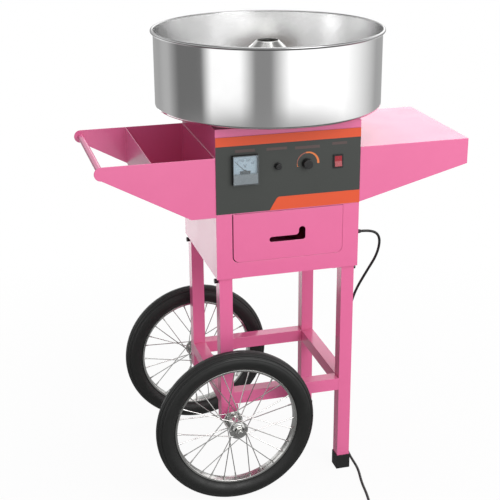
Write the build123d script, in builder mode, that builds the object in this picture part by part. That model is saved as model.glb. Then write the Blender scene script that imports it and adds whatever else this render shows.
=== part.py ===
"""Cotton candy machine on a two-wheeled cart.

Frame: millimetres, X to the right, Y to the back, Z up, with the origin on the floor under the machine's axis.
The front, with the control panel and the drawer, faces -Y.
"""

import os
from math import cos, pi, radians, sin, tan

from build123d import *

os.makedirs("parts", exist_ok=True)

# ---------------------------------------------------------------- driving dimensions, mm

# Cabinet, and the machine's housing on it
body_width = 328.0
body_depth = 328.0
cabinet_bottom = 528.0
cabinet_height = 151.0
housing_height = 189.0
sheet = 2.0
flat_gap = 0.3
hole_gap = 0.3
running_gap = 0.05

# Legs, stretchers and feet
tube_size = 30.0
tube_wall = 1.5
leg_inset = 6.0
leg_flange_size = 52.0
leg_flange_thickness = 3.0
left_leg_over_axle = 27.0
stretcher_over_leg_end = 2.0
foot_height = 36.0
foot_floor = 4.0
foot_wall = 1.8
foot_pocket_gap = 0.1
foot_edge = 1.0
leg_bolt_radius = 4.0
leg_bolt_head_radius = 5.5
leg_bolt_head_length = 8.0
leg_bolt_reach = 12.0
leg_bolt_below_flange = 1.0

# Axle, brackets and wheels
wheel_radius = 185.0
axle_x = -136.0
axle_radius = 6.0
bracket_wall = 3.0
bracket_reach = 18.0
tyre_width = 40.0
tyre_depth = 44.0
rim_width = 22.0
rim_wall = 1.5
rim_depth = 3.8
tyre_tongue_reach = 4.0
hub_barrel_radius = 14.0
hub_flange_radius = 22.0
hub_flange_thickness = 3.0
hub_flange_spacing = 48.0
hub_length = 62.0
hub_standoff = 14.5
hub_end_radius = 15.0
bearing_radius = 11.0
bearing_width = 9.0
spokes_a_side = 14
spoke_radius = 1.1
spoke_seat = 1.5
spoke_circle_radius = 18.5
spoke_stagger = 1.4
spoke_rim_stagger = 1.3
spoke_rim_offset = 4.0
axle_nut_radius = 11.0
axle_nut_width = 9.0
axle_thread_end = 3.0

# Drawer
drawer_width = 252.0
drawer_front_height = 111.0
drawer_gap = 1.3
drawer_rest_gap = 0.4
drawer_corner = 14.0
drawer_front_thickness = 2.0
drawer_box_inset = 8.0
drawer_box_lift = 4.0
drawer_box_depth = 292.0
drawer_box_height = 86.0
drawer_wall = 1.5
drawer_side_gap = 0.5
rail_lip = 14.0
rail_guide_height = 16.0
rail_foot = 14.0
rail_front_gap = 6.0
pull_slot_left = -44.0
pull_slot_right = 39.0
pull_slot_height = 12.0
pull_slot_above_drawer = 46.0
pull_notch_radius = 7.5
pull_notch_rise = 17.0
pull_flare = 8.0

# Left tray with its push bar, and right shelf
wing_sheet = 1.5
wing_top = 806.0
left_reach = 258.0
tray_bottom = 673.0
tray_flat = 54.0
tray_end_wall = 138.0
arm_end_radius = 15.0
push_bar_radius = 7.0
push_bar_wall = 1.5
right_reach = 258.0
shelf_root_bottom = 680.0
shelf_tip_bottom = 748.0

# Control panel and what is on it: places are measured from the panel's left and bottom edges
panel_height = 170.4
panel_side_gap = 0.5
panel_thickness = 1.2
stripe_thickness = 0.3
top_stripe_height = 20.0
low_stripe_height = 29.5
low_stripe_start = 120.0
low_stripe_slant = 16.0
meter_width = 56.6
meter_height = 64.8
meter_proud = 12.0
meter_x = 64.3
meter_z = 98.0
meter_frame = 1.5
meter_back = 2.8
meter_can_radius = 20.0
meter_can_depth = 25.0
meter_cover_height = 21.6
meter_cover_depth = 6.0
meter_glass = 2.0
meter_dial_thickness = 0.5
needle_pivot_height = 27.3
needle_length = 31.0
needle_width = 1.2
needle_thickness = 0.6
needle_hub_radius = 3.5
needle_pin_radius = 1.0
needle_rest_angle = -45.0
fuse_x = 138.0
fuse_z = 99.0
fuse_collar_radius = 8.0
fuse_collar_height = 2.5
fuse_barrel_radius = 6.0
fuse_barrel_depth = 24.0
fuse_cap_radius = 6.5
fuse_cap_height = 8.0
fuse_slot = 1.6
knob_x = 204.0
knob_z = 100.0
knob_radius = 10.5
knob_height = 13.0
knob_skirt_height = 2.5
knob_skirt_radius = 11.5
knob_mark_width = 1.4
regulator_bush_radius = 4.0
regulator_shaft_radius = 3.0
regulator_shaft_grip = 9.0
regulator_can_radius = 13.0
regulator_can_depth = 18.0
switch_x = 275.5
switch_z = 98.9
switch_width = 23.0
switch_height = 31.0
switch_frame = 3.0
switch_proud = 2.5
switch_body_wall = 1.6
switch_body_depth = 24.0
rocker_side_gap = 0.4
rocker_end_gap = 0.9
rocker_pivot_depth = 4.0
rocker_pin_radius = 1.5
rocker_pin_reach = 1.2
rocker_dip = 1.5
rocker_face = 5.5
rocker_back = 4.0
rocker_tilt = 7.0

# Drive in the housing
motor_radius = 42.0
motor_height = 72.0
motor_plate_thickness = 3.0
motor_plate_depth = 120.0
motor_plate_flange = 15.0
motor_plate_rise = 93.0
shaft_radius = 8.0
shaft_grip = 27.0
slip_disc_radius = 40.0
slip_disc_thickness = 8.0
slip_disc_rise = 25.0
slip_ring_radii = (22.0, 32.0)
slip_ring_width = 4.0
slip_ring_height = 1.5
brush_radius = 1.8
brush_length = 8.0
brush_block_depth = 16.0
brush_block_margin = 5.0
housing_shaft_hole = 30.0

# Bowl
bowl_radius = 260.0
bowl_height = 170.0
bowl_sheet = 1.0
bowl_bead_radius = 3.5
bowl_bead_slit = 1.5
bowl_corner = 6.0
bowl_hole_radius = 85.0
bowl_collar = 18.0
pad_height = 12.0
pad_radius = 9.0
pad_spread = 110.0

# Spinner head in the bowl
head_rise = 58.0
head_radius = 70.0
head_top_radius = 27.0
head_boss_radius = 14.0
head_boss_drop = 13.0
head_base_thickness = 4.0
head_shaft_in_base = 10.0
heater_height = 33.0
heater_wall = 2.0
heater_inset = 2.0
heater_slots = 36
heater_slot_width = 4.0
heater_slot_margin = 5.0
cap_height = 46.0
cap_wall = 1.5
cap_lip_height = 3.0
cap_lip_width = 3.0

# Power cord
cord_radius = 3.1
gland_y = -110.0
gland_z = 590.0
gland_nut_radius = 9.0
gland_nut_length = 6.0
gland_thread_radius = 6.2
gland_inner_nut = 4.0
gland_relief_length = 20.0
gland_relief_radius = 6.5
gland_tip_radius = 4.2
coil_center = (100.0, -415.0)
coil_outer_radius = 42.0
coil_pitch = 6.7
coil_turns_in = 1.5
coil_turns_out = 1.5
coil_climb_turns = 0.5
coil_exit_length = 13.0
plug_relief_length = 27.0
plug_relief_radius = 5.5
plug_tip_radius = 4.2
plug_body_length = 30.0
plug_body_width = 34.0
plug_corner = 5.0
plug_pin_radius = 2.4
plug_pin_length = 19.0
plug_pin_spacing = 19.0

# ---------------------------------------------------------------- derived sizes

half_width = body_width / 2
half_depth = body_depth / 2
cabinet_top = cabinet_bottom + cabinet_height
housing_bottom = cabinet_top
housing_top = housing_bottom + housing_height
leg_x = half_width - leg_inset - tube_size / 2
leg_y = half_depth - leg_inset - tube_size / 2
leg_top = cabinet_bottom - leg_flange_thickness
axle_z = wheel_radius
left_leg_end = axle_z + left_leg_over_axle
stretcher_bottom = left_leg_end + stretcher_over_leg_end
stretcher_mid = stretcher_bottom + tube_size / 2
leg_outer_face = leg_y + tube_size / 2
leg_inner_face = leg_y - tube_size / 2
wheel_y = leg_outer_face + hub_standoff + hub_length / 2


def keep(piece, name):
    """Labels a finished sub-part and writes its STEP file."""
    piece.part.label = name
    export_step(piece.part, f"parts/{name}.step")


# ---------------------------------------------------------------- cabinet and drawer

drawer_opening_width = drawer_width + 2 * drawer_gap
opening_shift = drawer_rest_gap - drawer_gap
drawer_top = cabinet_top - sheet - 1.0
drawer_bottom = drawer_top - drawer_front_height
drawer_mid = (drawer_top + drawer_bottom) / 2
front_face = -half_depth
deck_under = cabinet_top - sheet

with BuildPart() as cabinet_shell:
    with BuildSketch(Plane.XY.offset(cabinet_bottom)):
        Rectangle(body_width, body_depth)
    extrude(amount=cabinet_height)
    with BuildSketch(Plane.XY.offset(cabinet_bottom + sheet)):
        Rectangle(body_width - 2 * sheet, body_depth - 2 * sheet)
    extrude(amount=cabinet_height - 2 * sheet, mode=Mode.SUBTRACT)
    opening_bottom = drawer_bottom - drawer_rest_gap
    with BuildSketch(Plane.XZ.offset(half_depth)):
        with Locations((opening_shift, (opening_bottom + deck_under) / 2)):
            Rectangle(drawer_opening_width, deck_under - opening_bottom)
        opening_corners = [v for v in vertices() if v.Y < drawer_mid]
        fillet(opening_corners, drawer_corner)
    extrude(amount=-sheet, mode=Mode.SUBTRACT)
    with BuildSketch(Plane.YZ.offset(half_width)):
        with Locations((gland_y, gland_z)):
            Circle(gland_thread_radius + hole_gap)
    extrude(amount=-sheet, mode=Mode.SUBTRACT)
keep(cabinet_shell, "cabinet_shell")

slot_z = drawer_bottom + pull_slot_above_drawer
slot_mid = (pull_slot_left + pull_slot_right) / 2
slot_length = pull_slot_right - pull_slot_left
notch_x = pull_slot_right - pull_notch_radius
notch_top = slot_z + pull_notch_rise

with BuildPart() as drawer_front:
    with BuildSketch(Plane.XZ.offset(half_depth)):
        with Locations((0, drawer_mid)):
            Rectangle(drawer_width, drawer_front_height)
        front_corners = [v for v in vertices() if v.Y < drawer_mid]
        fillet(front_corners, drawer_corner)
        with Locations((slot_mid, slot_z)):
            SlotOverall(slot_length, pull_slot_height, mode=Mode.SUBTRACT)
        with Locations((notch_x, notch_top)):
            Circle(pull_notch_radius, mode=Mode.SUBTRACT)
        with Locations((notch_x, (slot_z + notch_top) / 2)):
            Rectangle(2 * pull_notch_radius, notch_top - slot_z, mode=Mode.SUBTRACT)
        slot_top = slot_z + pull_slot_height / 2
        flare_corner = [v for v in vertices() if abs(v.X - notch_x + pull_notch_radius) < 0.01 and abs(v.Y - slot_top) < 0.01]
        fillet(flare_corner, pull_flare)
    extrude(amount=-drawer_front_thickness)
keep(drawer_front, "drawer_front")

box_width = drawer_width - 2 * drawer_box_inset
box_bottom = drawer_bottom + drawer_box_lift
box_front = front_face + drawer_front_thickness
box_mid_y = box_front + drawer_box_depth / 2

with BuildPart() as drawer_box:
    with BuildSketch(Plane.XY.offset(box_bottom)):
        with Locations((0, box_mid_y)):
            Rectangle(box_width, drawer_box_depth)
    extrude(amount=drawer_box_height)
    with BuildSketch(Plane.XY.offset(box_bottom + drawer_wall)):
        with Locations((0, box_mid_y - drawer_wall / 2)):
            Rectangle(box_width - 2 * drawer_wall, drawer_box_depth - drawer_wall)
    extrude(amount=drawer_box_height, mode=Mode.SUBTRACT)
keep(drawer_box, "drawer_box")

rail_base = cabinet_bottom + sheet
rail_inner = box_width / 2 + drawer_side_gap
rail_outer = rail_inner + sheet
rail_shelf_top = box_bottom - flat_gap
rail_shelf_mid = rail_shelf_top - sheet / 2
rail_top = box_bottom + rail_guide_height

with BuildPart() as drawer_rails:
    with BuildSketch(Plane.XZ.offset(half_depth - sheet - rail_front_gap)):
        with Locations(((rail_inner + rail_outer) / 2, (rail_base + rail_top) / 2)):
            Rectangle(sheet, rail_top - rail_base)
        with Locations((rail_inner - rail_lip / 2, rail_shelf_mid)):
            Rectangle(rail_lip, sheet)
        with Locations((rail_outer + rail_foot / 2, rail_base + sheet / 2)):
            Rectangle(rail_foot, sheet)
        mirror(about=Plane.YZ)
    extrude(amount=-(drawer_box_depth - rail_front_gap))
keep(drawer_rails, "drawer_rails")

# ---------------------------------------------------------------- legs, stretchers and feet

bolt_z = leg_top - leg_bolt_below_flange - leg_bolt_head_radius


def make_leg(side_x, side_y, bottom, name):
    """A square tube with a welded flange plate on top, which bears on the cabinet's floor."""
    x = side_x * leg_x
    y = side_y * leg_y
    flange_x = side_x * (leg_x + tube_size / 2 - leg_flange_size / 2)
    flange_y = side_y * (leg_y + tube_size / 2 - leg_flange_size / 2)
    with BuildPart() as leg:
        with BuildSketch(Plane.XY.offset(bottom)):
            with Locations((x, y)):
                Rectangle(tube_size, tube_size)
                Rectangle(tube_size - 2 * tube_wall, tube_size - 2 * tube_wall, mode=Mode.SUBTRACT)
        extrude(amount=leg_top - bottom)
        with BuildSketch(Plane.XY.offset(leg_top)):
            with Locations((flange_x, flange_y)):
                Rectangle(leg_flange_size, leg_flange_size)
        extrude(amount=leg_flange_thickness)
        with BuildSketch(Plane.YZ.offset(side_x * (leg_x + tube_size / 2))):
            with Locations((y, bolt_z)):
                Circle(leg_bolt_radius + hole_gap)
        extrude(amount=-side_x * tube_wall, mode=Mode.SUBTRACT)
    keep(leg, name)


make_leg(-1, -1, left_leg_end, "leg_front_left")
make_leg(-1, 1, left_leg_end, "leg_rear_left")
make_leg(1, -1, foot_floor, "leg_front_right")
make_leg(1, 1, foot_floor, "leg_rear_right")

with BuildPart() as leg_bolts:
    for side_x in (-1, 1):
        leg_face = side_x * (leg_x + tube_size / 2)
        with BuildSketch(Plane.YZ.offset(leg_face)):
            with Locations((-leg_y, bolt_z), (leg_y, bolt_z)):
                RegularPolygon(leg_bolt_head_radius, 6)
        extrude(amount=side_x * leg_bolt_head_length)
        with BuildSketch(Plane.YZ.offset(leg_face)):
            with Locations((-leg_y, bolt_z), (leg_y, bolt_z)):
                Circle(leg_bolt_radius)
        extrude(amount=-side_x * leg_bolt_reach)
keep(leg_bolts, "leg_bolts")


def make_stretcher(plane, center, length, name):
    """A square tube between two legs, flush with their outer faces."""
    with BuildPart() as stretcher:
        with BuildSketch(plane):
            with Locations(center):
                Rectangle(tube_size, tube_size)
                Rectangle(tube_size - 2 * tube_wall, tube_size - 2 * tube_wall, mode=Mode.SUBTRACT)
        extrude(amount=length / 2, both=True)
    keep(stretcher, name)


long_span = 2 * leg_x - tube_size
side_span = 2 * leg_y - tube_size
make_stretcher(Plane.YZ, (-leg_y, stretcher_mid), long_span, "stretcher_front")
make_stretcher(Plane.YZ, (leg_y, stretcher_mid), long_span, "stretcher_rear")
make_stretcher(Plane.XZ, (-leg_x, stretcher_mid), side_span, "stretcher_left")
make_stretcher(Plane.XZ, (leg_x, stretcher_mid), side_span, "stretcher_right")


def make_foot(y, name):
    """A square rubber cap on the end of a right leg."""
    pocket = tube_size + 2 * foot_pocket_gap
    with BuildPart() as foot:
        with BuildSketch():
            with Locations((leg_x, y)):
                Rectangle(pocket + 2 * foot_wall, pocket + 2 * foot_wall)
        extrude(amount=foot_height)
        fillet(foot.edges().filter_by(Axis.Z), foot_edge)
        fillet(foot.faces().sort_by(Axis.Z)[-1].edges(), foot_edge)
        with BuildSketch(Plane.XY.offset(foot_floor)):
            with Locations((leg_x, y)):
                Rectangle(pocket, pocket)
        extrude(amount=foot_height, mode=Mode.SUBTRACT)
    keep(foot, name)


make_foot(-leg_y, "foot_front")
make_foot(leg_y, "foot_rear")

# ---------------------------------------------------------------- axle and brackets

bracket_left = -leg_x - tube_size / 2
bracket_right = axle_x + bracket_reach
hub_outer_end = wheel_y + hub_length / 2
hub_inner_end = wheel_y - hub_length / 2
nut_face = hub_outer_end + flat_gap
axle_half = nut_face + axle_nut_width + axle_thread_end

with BuildPart() as axle_brackets:
    for side_y in (-1, 1):
        with BuildSketch(Plane.XZ.offset(-side_y * leg_outer_face)):
            with Locations(((bracket_left + bracket_right) / 2, (axle_z + left_leg_end) / 2)):
                Rectangle(bracket_right - bracket_left, left_leg_over_axle)
            with Locations((axle_x, axle_z)):
                Circle(bracket_reach)
            with Locations(((bracket_left + axle_x) / 2, axle_z - bracket_reach / 4)):
                Rectangle(axle_x - bracket_left, bracket_reach / 2)
        extrude(amount=side_y * tube_size)
        with BuildSketch(Plane.XZ.offset(-side_y * (leg_outer_face - bracket_wall))):
            with Locations((bracket_left + bracket_wall + body_width / 2, axle_z)):
                Rectangle(body_width, 2 * left_leg_over_axle + 2 * bracket_reach)
        extrude(amount=side_y * (tube_size - 2 * bracket_wall), mode=Mode.SUBTRACT)
    with BuildSketch(Plane.XZ):
        with Locations((axle_x, axle_z)):
            Circle(axle_radius + running_gap)
    extrude(amount=leg_outer_face + 1, both=True, mode=Mode.SUBTRACT)
keep(axle_brackets, "axle_brackets")

with BuildPart() as axle:
    with BuildSketch(Plane.XZ):
        with Locations((axle_x, axle_z)):
            Circle(axle_radius)
    extrude(amount=axle_half, both=True)
    chamfer(axle.edges().filter_by(GeomType.CIRCLE), axle_radius / 6)
keep(axle, "axle")

with BuildPart() as axle_nuts:
    for side_y in (-1, 1):
        with BuildSketch(Plane.XZ.offset(-side_y * nut_face)):
            with Locations((axle_x, axle_z)):
                RegularPolygon(axle_nut_radius, 6)
                Circle(axle_radius + running_gap, mode=Mode.SUBTRACT)
        extrude(amount=-side_y * axle_nut_width)
        collar_start = leg_outer_face + flat_gap
        with BuildSketch(Plane.XZ.offset(-side_y * collar_start)):
            with Locations((axle_x, axle_z)):
                Circle(axle_nut_radius * 0.85)
                Circle(axle_radius + running_gap, mode=Mode.SUBTRACT)
        extrude(amount=-side_y * (hub_inner_end - flat_gap - collar_start))
keep(axle_nuts, "axle_nuts")

# ---------------------------------------------------------------- wheels

tyre_mid_radius = wheel_radius - tyre_depth / 2
rim_half = rim_width / 2
channel_half = rim_half - rim_wall
seat_ratio = (1 - (2 * channel_half / tyre_width) ** 2) ** 0.5
rim_tip_radius = tyre_mid_radius - tyre_depth / 2 * seat_ratio - flat_gap
rim_bed_radius = rim_tip_radius - rim_depth
rim_inner_radius = rim_bed_radius - rim_wall
spoke_sector = 4 * pi / spokes_a_side


def wheel_plane(side_y):
    """The plane through the axle's line in which a wheel's profile is drawn: X runs along the axle, Y is radial."""
    return Plane(origin=(axle_x, side_y * wheel_y, axle_z), x_dir=(0, 1, 0), z_dir=(1, 0, 0))


def wheel_axis(side_y):
    """The axle's line."""
    return Axis((axle_x, side_y * wheel_y, axle_z), (0, 1, 0))


def make_tyre(side_y, name):
    """A ring of oval section, with a tongue that fills the rim's channel."""
    tongue_half = channel_half - flat_gap
    tongue_low = rim_bed_radius + flat_gap
    tongue_high = tyre_mid_radius - tyre_depth / 2 + tyre_tongue_reach
    with BuildPart() as tyre:
        with BuildSketch(wheel_plane(side_y)):
            with Locations((0, tyre_mid_radius)):
                Ellipse(tyre_width / 2, tyre_depth / 2)
            with Locations((0, (tongue_low + tongue_high) / 2)):
                Rectangle(2 * tongue_half, tongue_high - tongue_low)
        revolve(axis=wheel_axis(side_y))
    keep(tyre, name)


def make_rim(side_y, name):
    """A channel ring, open outwards."""
    with BuildPart() as rim:
        with BuildSketch(wheel_plane(side_y)):
            with Locations((0, (rim_inner_radius + rim_tip_radius) / 2)):
                Rectangle(rim_width, rim_tip_radius - rim_inner_radius)
            with Locations((0, rim_bed_radius + rim_depth)):
                Rectangle(2 * channel_half, 2 * rim_depth, mode=Mode.SUBTRACT)
        revolve(axis=wheel_axis(side_y))
    keep(rim, name)


def make_hub(side_y, name):
    """A barrel with two spoke flanges, bored for a bearing at each end."""
    with BuildPart() as hub:
        with BuildSketch(wheel_plane(side_y)):
            with Locations((0, hub_barrel_radius / 2)):
                Rectangle(hub_flange_spacing, hub_barrel_radius)
            for end in (-1, 1):
                with Locations((end * hub_flange_spacing / 2, hub_flange_radius / 2)):
                    Rectangle(hub_flange_thickness, hub_flange_radius)
                neck = (hub_length - hub_flange_spacing) / 2
                with Locations((end * (hub_length - neck) / 2, hub_end_radius / 2)):
                    Rectangle(neck, hub_end_radius)
                with Locations((end * (hub_length - bearing_width) / 2, bearing_radius / 2)):
                    Rectangle(bearing_width, bearing_radius, mode=Mode.SUBTRACT)
            with Locations((0, (axle_radius + 1) / 2)):
                Rectangle(hub_length, axle_radius + 1, mode=Mode.SUBTRACT)
        revolve(axis=wheel_axis(side_y))
    keep(hub, name)


def make_bearings(side_y, name):
    """The two bearings that run on the axle."""
    ring_low = axle_radius + running_gap
    ring_high = bearing_radius - running_gap
    with BuildPart() as bearings:
        with BuildSketch(wheel_plane(side_y)):
            for end in (-1, 1):
                with Locations((end * (hub_length - bearing_width) / 2, (ring_low + ring_high) / 2)):
                    Rectangle(bearing_width, ring_high - ring_low)
        revolve(axis=wheel_axis(side_y))
    keep(bearings, name)


def spoke_ends(side_y, end, lean, number):
    """A spoke's two ends, at the hub's flange and in the rim's bed."""
    shift = 0 if lean > 0 else spoke_sector / 2
    half_step = spoke_sector / 4 if end > 0 else 0
    hub_angle = number * spoke_sector + shift + half_step
    rim_angle = hub_angle + lean * spoke_sector
    hub_y = side_y * wheel_y + end * (hub_flange_spacing / 2) + lean * spoke_stagger
    rim_y = side_y * wheel_y + end * spoke_rim_offset + lean * spoke_rim_stagger
    rim_reach = rim_inner_radius + spoke_seat
    hub_end = Vector(
        axle_x + spoke_circle_radius * cos(hub_angle), hub_y, axle_z + spoke_circle_radius * sin(hub_angle)
    )
    rim_end = Vector(axle_x + rim_reach * cos(rim_angle), rim_y, axle_z + rim_reach * sin(rim_angle))
    return hub_end, rim_end


def make_spokes(side_y, name):
    """Straight spokes from both flanges, each crossing its neighbours on the way to the rim."""
    with BuildPart() as spokes:
        for end in (-1, 1):
            for lean in (-1, 1):
                for number in range(spokes_a_side // 2):
                    hub_end, rim_end = spoke_ends(side_y, end, lean, number)
                    run = rim_end - hub_end
                    with BuildSketch(Plane(origin=hub_end, z_dir=run)):
                        Circle(spoke_radius)
                    extrude(amount=run.length)
    keep(spokes, name)


for wheel_side, wheel_name in ((-1, "front"), (1, "rear")):
    make_tyre(wheel_side, f"tyre_{wheel_name}")
    make_rim(wheel_side, f"rim_{wheel_name}")
    make_hub(wheel_side, f"hub_{wheel_name}")
    make_bearings(wheel_side, f"bearings_{wheel_name}")
    make_spokes(wheel_side, f"spokes_{wheel_name}")

# ---------------------------------------------------------------- left tray, push bar and right shelf

tray_tip = -half_width - left_reach
bar_x = tray_tip + arm_end_radius
bar_z = wing_top - arm_end_radius
tray_end_x = -half_width - tray_end_wall
kink_x = -half_width - tray_flat
arm_bottom = bar_z - arm_end_radius
tray_slope = (arm_bottom - tray_bottom) / (kink_x - bar_x)
tray_end_floor = tray_bottom + tray_slope * (kink_x - tray_end_x)

with BuildPart() as left_tray:
    for side_y in (-1, 1):
        with BuildSketch(Plane.XZ.offset(-side_y * half_depth)):
            with BuildLine():
                Polyline(
                    (bar_x, wing_top),
                    (-half_width, wing_top),
                    (-half_width, tray_bottom),
                    (kink_x, tray_bottom),
                    (bar_x, arm_bottom),
                )
                ThreePointArc((bar_x, arm_bottom), (tray_tip, bar_z), (bar_x, wing_top))
            make_face()
        extrude(amount=side_y * wing_sheet)
    with BuildSketch(Plane.XZ):
        with BuildLine():
            Polyline(
                (-half_width, tray_bottom),
                (kink_x, tray_bottom),
                (tray_end_x, tray_end_floor),
                (tray_end_x, wing_top),
                (tray_end_x + wing_sheet, wing_top),
                (tray_end_x + wing_sheet, tray_end_floor + wing_sheet),
                (kink_x, tray_bottom + wing_sheet),
                (-half_width, tray_bottom + wing_sheet),
                close=True,
            )
        make_face()
    extrude(amount=half_depth - wing_sheet, both=True)
    with BuildSketch(Plane.YZ.offset(-half_width)):
        with Locations((0, (wing_top + tray_bottom) / 2)):
            Rectangle(body_depth, wing_top - tray_bottom)
    extrude(amount=-wing_sheet)
keep(left_tray, "left_tray")

bar_half = half_depth - wing_sheet

with BuildPart() as push_bar:
    with BuildSketch(Plane.XZ):
        with Locations((bar_x, bar_z)):
            Circle(push_bar_radius)
            Circle(push_bar_radius - push_bar_wall, mode=Mode.SUBTRACT)
    extrude(amount=bar_half, both=True)
keep(push_bar, "push_bar")

shelf_tip = half_width + right_reach

with BuildPart() as right_shelf:
    with BuildSketch(Plane.XZ):
        with BuildLine():
            Polyline(
                (half_width, wing_top),
                (shelf_tip, wing_top),
                (shelf_tip, shelf_tip_bottom),
                (half_width, shelf_root_bottom),
                close=True,
            )
        make_face()
    extrude(amount=half_depth, both=True)
    hollow_height = wing_top - wing_sheet - min(shelf_root_bottom, shelf_tip_bottom) + tube_size
    with BuildSketch(Plane.XY.offset(wing_top - wing_sheet)):
        with Locations(((half_width + shelf_tip) / 2, 0)):
            Rectangle(right_reach - 2 * wing_sheet, body_depth - 2 * wing_sheet)
    extrude(amount=-hollow_height, mode=Mode.SUBTRACT)
keep(right_shelf, "right_shelf")

# ---------------------------------------------------------------- machine housing and control panel

panel_left = -half_width
panel_bottom = cabinet_top + 0.6
panel_face = half_depth + panel_thickness
meter_at = (panel_left + meter_x, panel_bottom + meter_z)
fuse_at = (panel_left + fuse_x, panel_bottom + fuse_z)
knob_at = (panel_left + knob_x, panel_bottom + knob_z)
switch_at = (panel_left + switch_x, panel_bottom + switch_z)
switch_hole_width = switch_width - switch_frame
switch_hole_height = switch_height - switch_frame


def instrument_holes(depth):
    """The outlines of the holes for the instruments, in the plane at a depth before the axis."""
    with BuildSketch(Plane.XZ.offset(depth)) as holes:
        with Locations(meter_at):
            Circle(meter_can_radius + hole_gap)
        with Locations(fuse_at):
            Circle(fuse_barrel_radius + hole_gap)
        with Locations(knob_at):
            Circle(regulator_bush_radius + hole_gap)
        with Locations(switch_at):
            Rectangle(switch_hole_width + 2 * hole_gap, switch_hole_height + 2 * hole_gap)
    return holes.sketch


with BuildPart() as machine_housing:
    with BuildSketch(Plane.XY.offset(housing_bottom)):
        Rectangle(body_width, body_depth)
    extrude(amount=housing_height)
    with BuildSketch(Plane.XY.offset(housing_bottom)):
        Rectangle(body_width - 2 * sheet, body_depth - 2 * sheet)
    extrude(amount=housing_height - sheet, mode=Mode.SUBTRACT)
    with BuildSketch(Plane.XY.offset(housing_top)):
        Circle(housing_shaft_hole)
    extrude(amount=-sheet, mode=Mode.SUBTRACT)
    extrude(instrument_holes(half_depth), amount=-sheet, mode=Mode.SUBTRACT)
keep(machine_housing, "machine_housing")

with BuildPart() as control_panel:
    with BuildSketch(Plane.XZ.offset(half_depth)):
        with Locations((0, panel_bottom + panel_height / 2)):
            Rectangle(body_width - 2 * panel_side_gap, panel_height)
    extrude(amount=panel_thickness)
    extrude(instrument_holes(half_depth), amount=panel_thickness, mode=Mode.SUBTRACT)
keep(control_panel, "control_panel")

stripe_left = panel_left + low_stripe_start
stripe_right = half_width - panel_side_gap
stripe_top = panel_bottom + low_stripe_height
panel_top = panel_bottom + panel_height

with BuildPart() as panel_stripes:
    with BuildSketch(Plane.XZ.offset(panel_face)):
        with Locations((0, panel_top - top_stripe_height / 2)):
            Rectangle(body_width - 2 * panel_side_gap, top_stripe_height)
        with BuildLine():
            Polyline(
                (stripe_left, panel_bottom),
                (stripe_left + low_stripe_slant, stripe_top - low_stripe_height / 10),
                (stripe_left + low_stripe_slant * 1.3, stripe_top),
                (stripe_right, stripe_top),
                (stripe_right, panel_bottom),
                close=True,
            )
        make_face()
    extrude(amount=stripe_thickness)
keep(panel_stripes, "panel_stripes")

# ---------------------------------------------------------------- voltmeter

pocket_width = meter_width - 2 * meter_frame
pocket_height = meter_height - 2 * meter_frame
pocket_floor = panel_face + meter_back
meter_front = panel_face + meter_proud
case_front = meter_front - meter_glass
pocket_bottom = meter_at[1] - pocket_height / 2
cover_top = pocket_bottom + meter_cover_height
dial_face = pocket_floor + meter_dial_thickness
pivot_z = pocket_bottom + needle_pivot_height
needle_back = dial_face + flat_gap
needle_front = needle_back + needle_thickness
needle_plane = Plane(origin=(meter_at[0], -needle_back, pivot_z), x_dir=(1, 0, 0), z_dir=(0, -1, 0))
needle_turn = radians(90 - needle_rest_angle)

with BuildPart() as voltmeter_case:
    with BuildSketch(Plane.XZ.offset(panel_face)):
        with Locations(meter_at):
            Rectangle(meter_width, meter_height)
    extrude(amount=case_front - panel_face)
    with BuildSketch(Plane.XZ.offset(pocket_floor)):
        with Locations(meter_at):
            Rectangle(pocket_width, pocket_height)
    extrude(amount=meter_proud, mode=Mode.SUBTRACT)
    with BuildSketch(Plane.XZ.offset(panel_face)):
        with Locations(meter_at):
            Circle(meter_can_radius)
    extrude(amount=-meter_can_depth)
keep(voltmeter_case, "voltmeter_case")

with BuildPart() as voltmeter_dial:
    with BuildSketch(Plane.XZ.offset(pocket_floor)):
        with Locations(meter_at):
            Rectangle(pocket_width - 2 * flat_gap, pocket_height - 2 * flat_gap)
    extrude(amount=meter_dial_thickness)
    with BuildSketch(Plane.XZ.offset(dial_face)):
        with Locations((meter_at[0], pivot_z)):
            Circle(needle_pin_radius)
    extrude(amount=needle_front - dial_face)
keep(voltmeter_dial, "voltmeter_dial")

with BuildPart() as voltmeter_cover:
    with BuildSketch(Plane.XZ.offset(case_front)):
        with Locations((meter_at[0], (pocket_bottom + cover_top) / 2)):
            Rectangle(pocket_width, meter_cover_height)
    extrude(amount=-meter_cover_depth)
keep(voltmeter_cover, "voltmeter_cover")

with BuildPart() as voltmeter_window:
    with BuildSketch(Plane.XZ.offset(meter_front)):
        with Locations(meter_at):
            Rectangle(meter_width, meter_height)
    extrude(amount=-meter_glass)
keep(voltmeter_window, "voltmeter_window")

with BuildPart() as voltmeter_needle:
    with BuildSketch(needle_plane):
        Circle(needle_hub_radius)
        with Locations((needle_length / 2 * cos(needle_turn), needle_length / 2 * sin(needle_turn))):
            Rectangle(needle_length, needle_width, rotation=90 - needle_rest_angle)
        Circle(needle_pin_radius + running_gap, mode=Mode.SUBTRACT)
    extrude(amount=needle_thickness)
keep(voltmeter_needle, "voltmeter_needle")

# ---------------------------------------------------------------- fuse, heat regulator and switch

fuse_collar_face = panel_face + fuse_collar_height
fuse_cap_base = fuse_collar_face + flat_gap

with BuildPart() as fuse_holder:
    with BuildSketch(Plane.XZ.offset(panel_face)):
        with Locations(fuse_at):
            Circle(fuse_collar_radius)
    extrude(amount=fuse_collar_height)
    with BuildSketch(Plane.XZ.offset(panel_face)):
        with Locations(fuse_at):
            Circle(fuse_barrel_radius)
    extrude(amount=-fuse_barrel_depth)
keep(fuse_holder, "fuse_holder")

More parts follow.
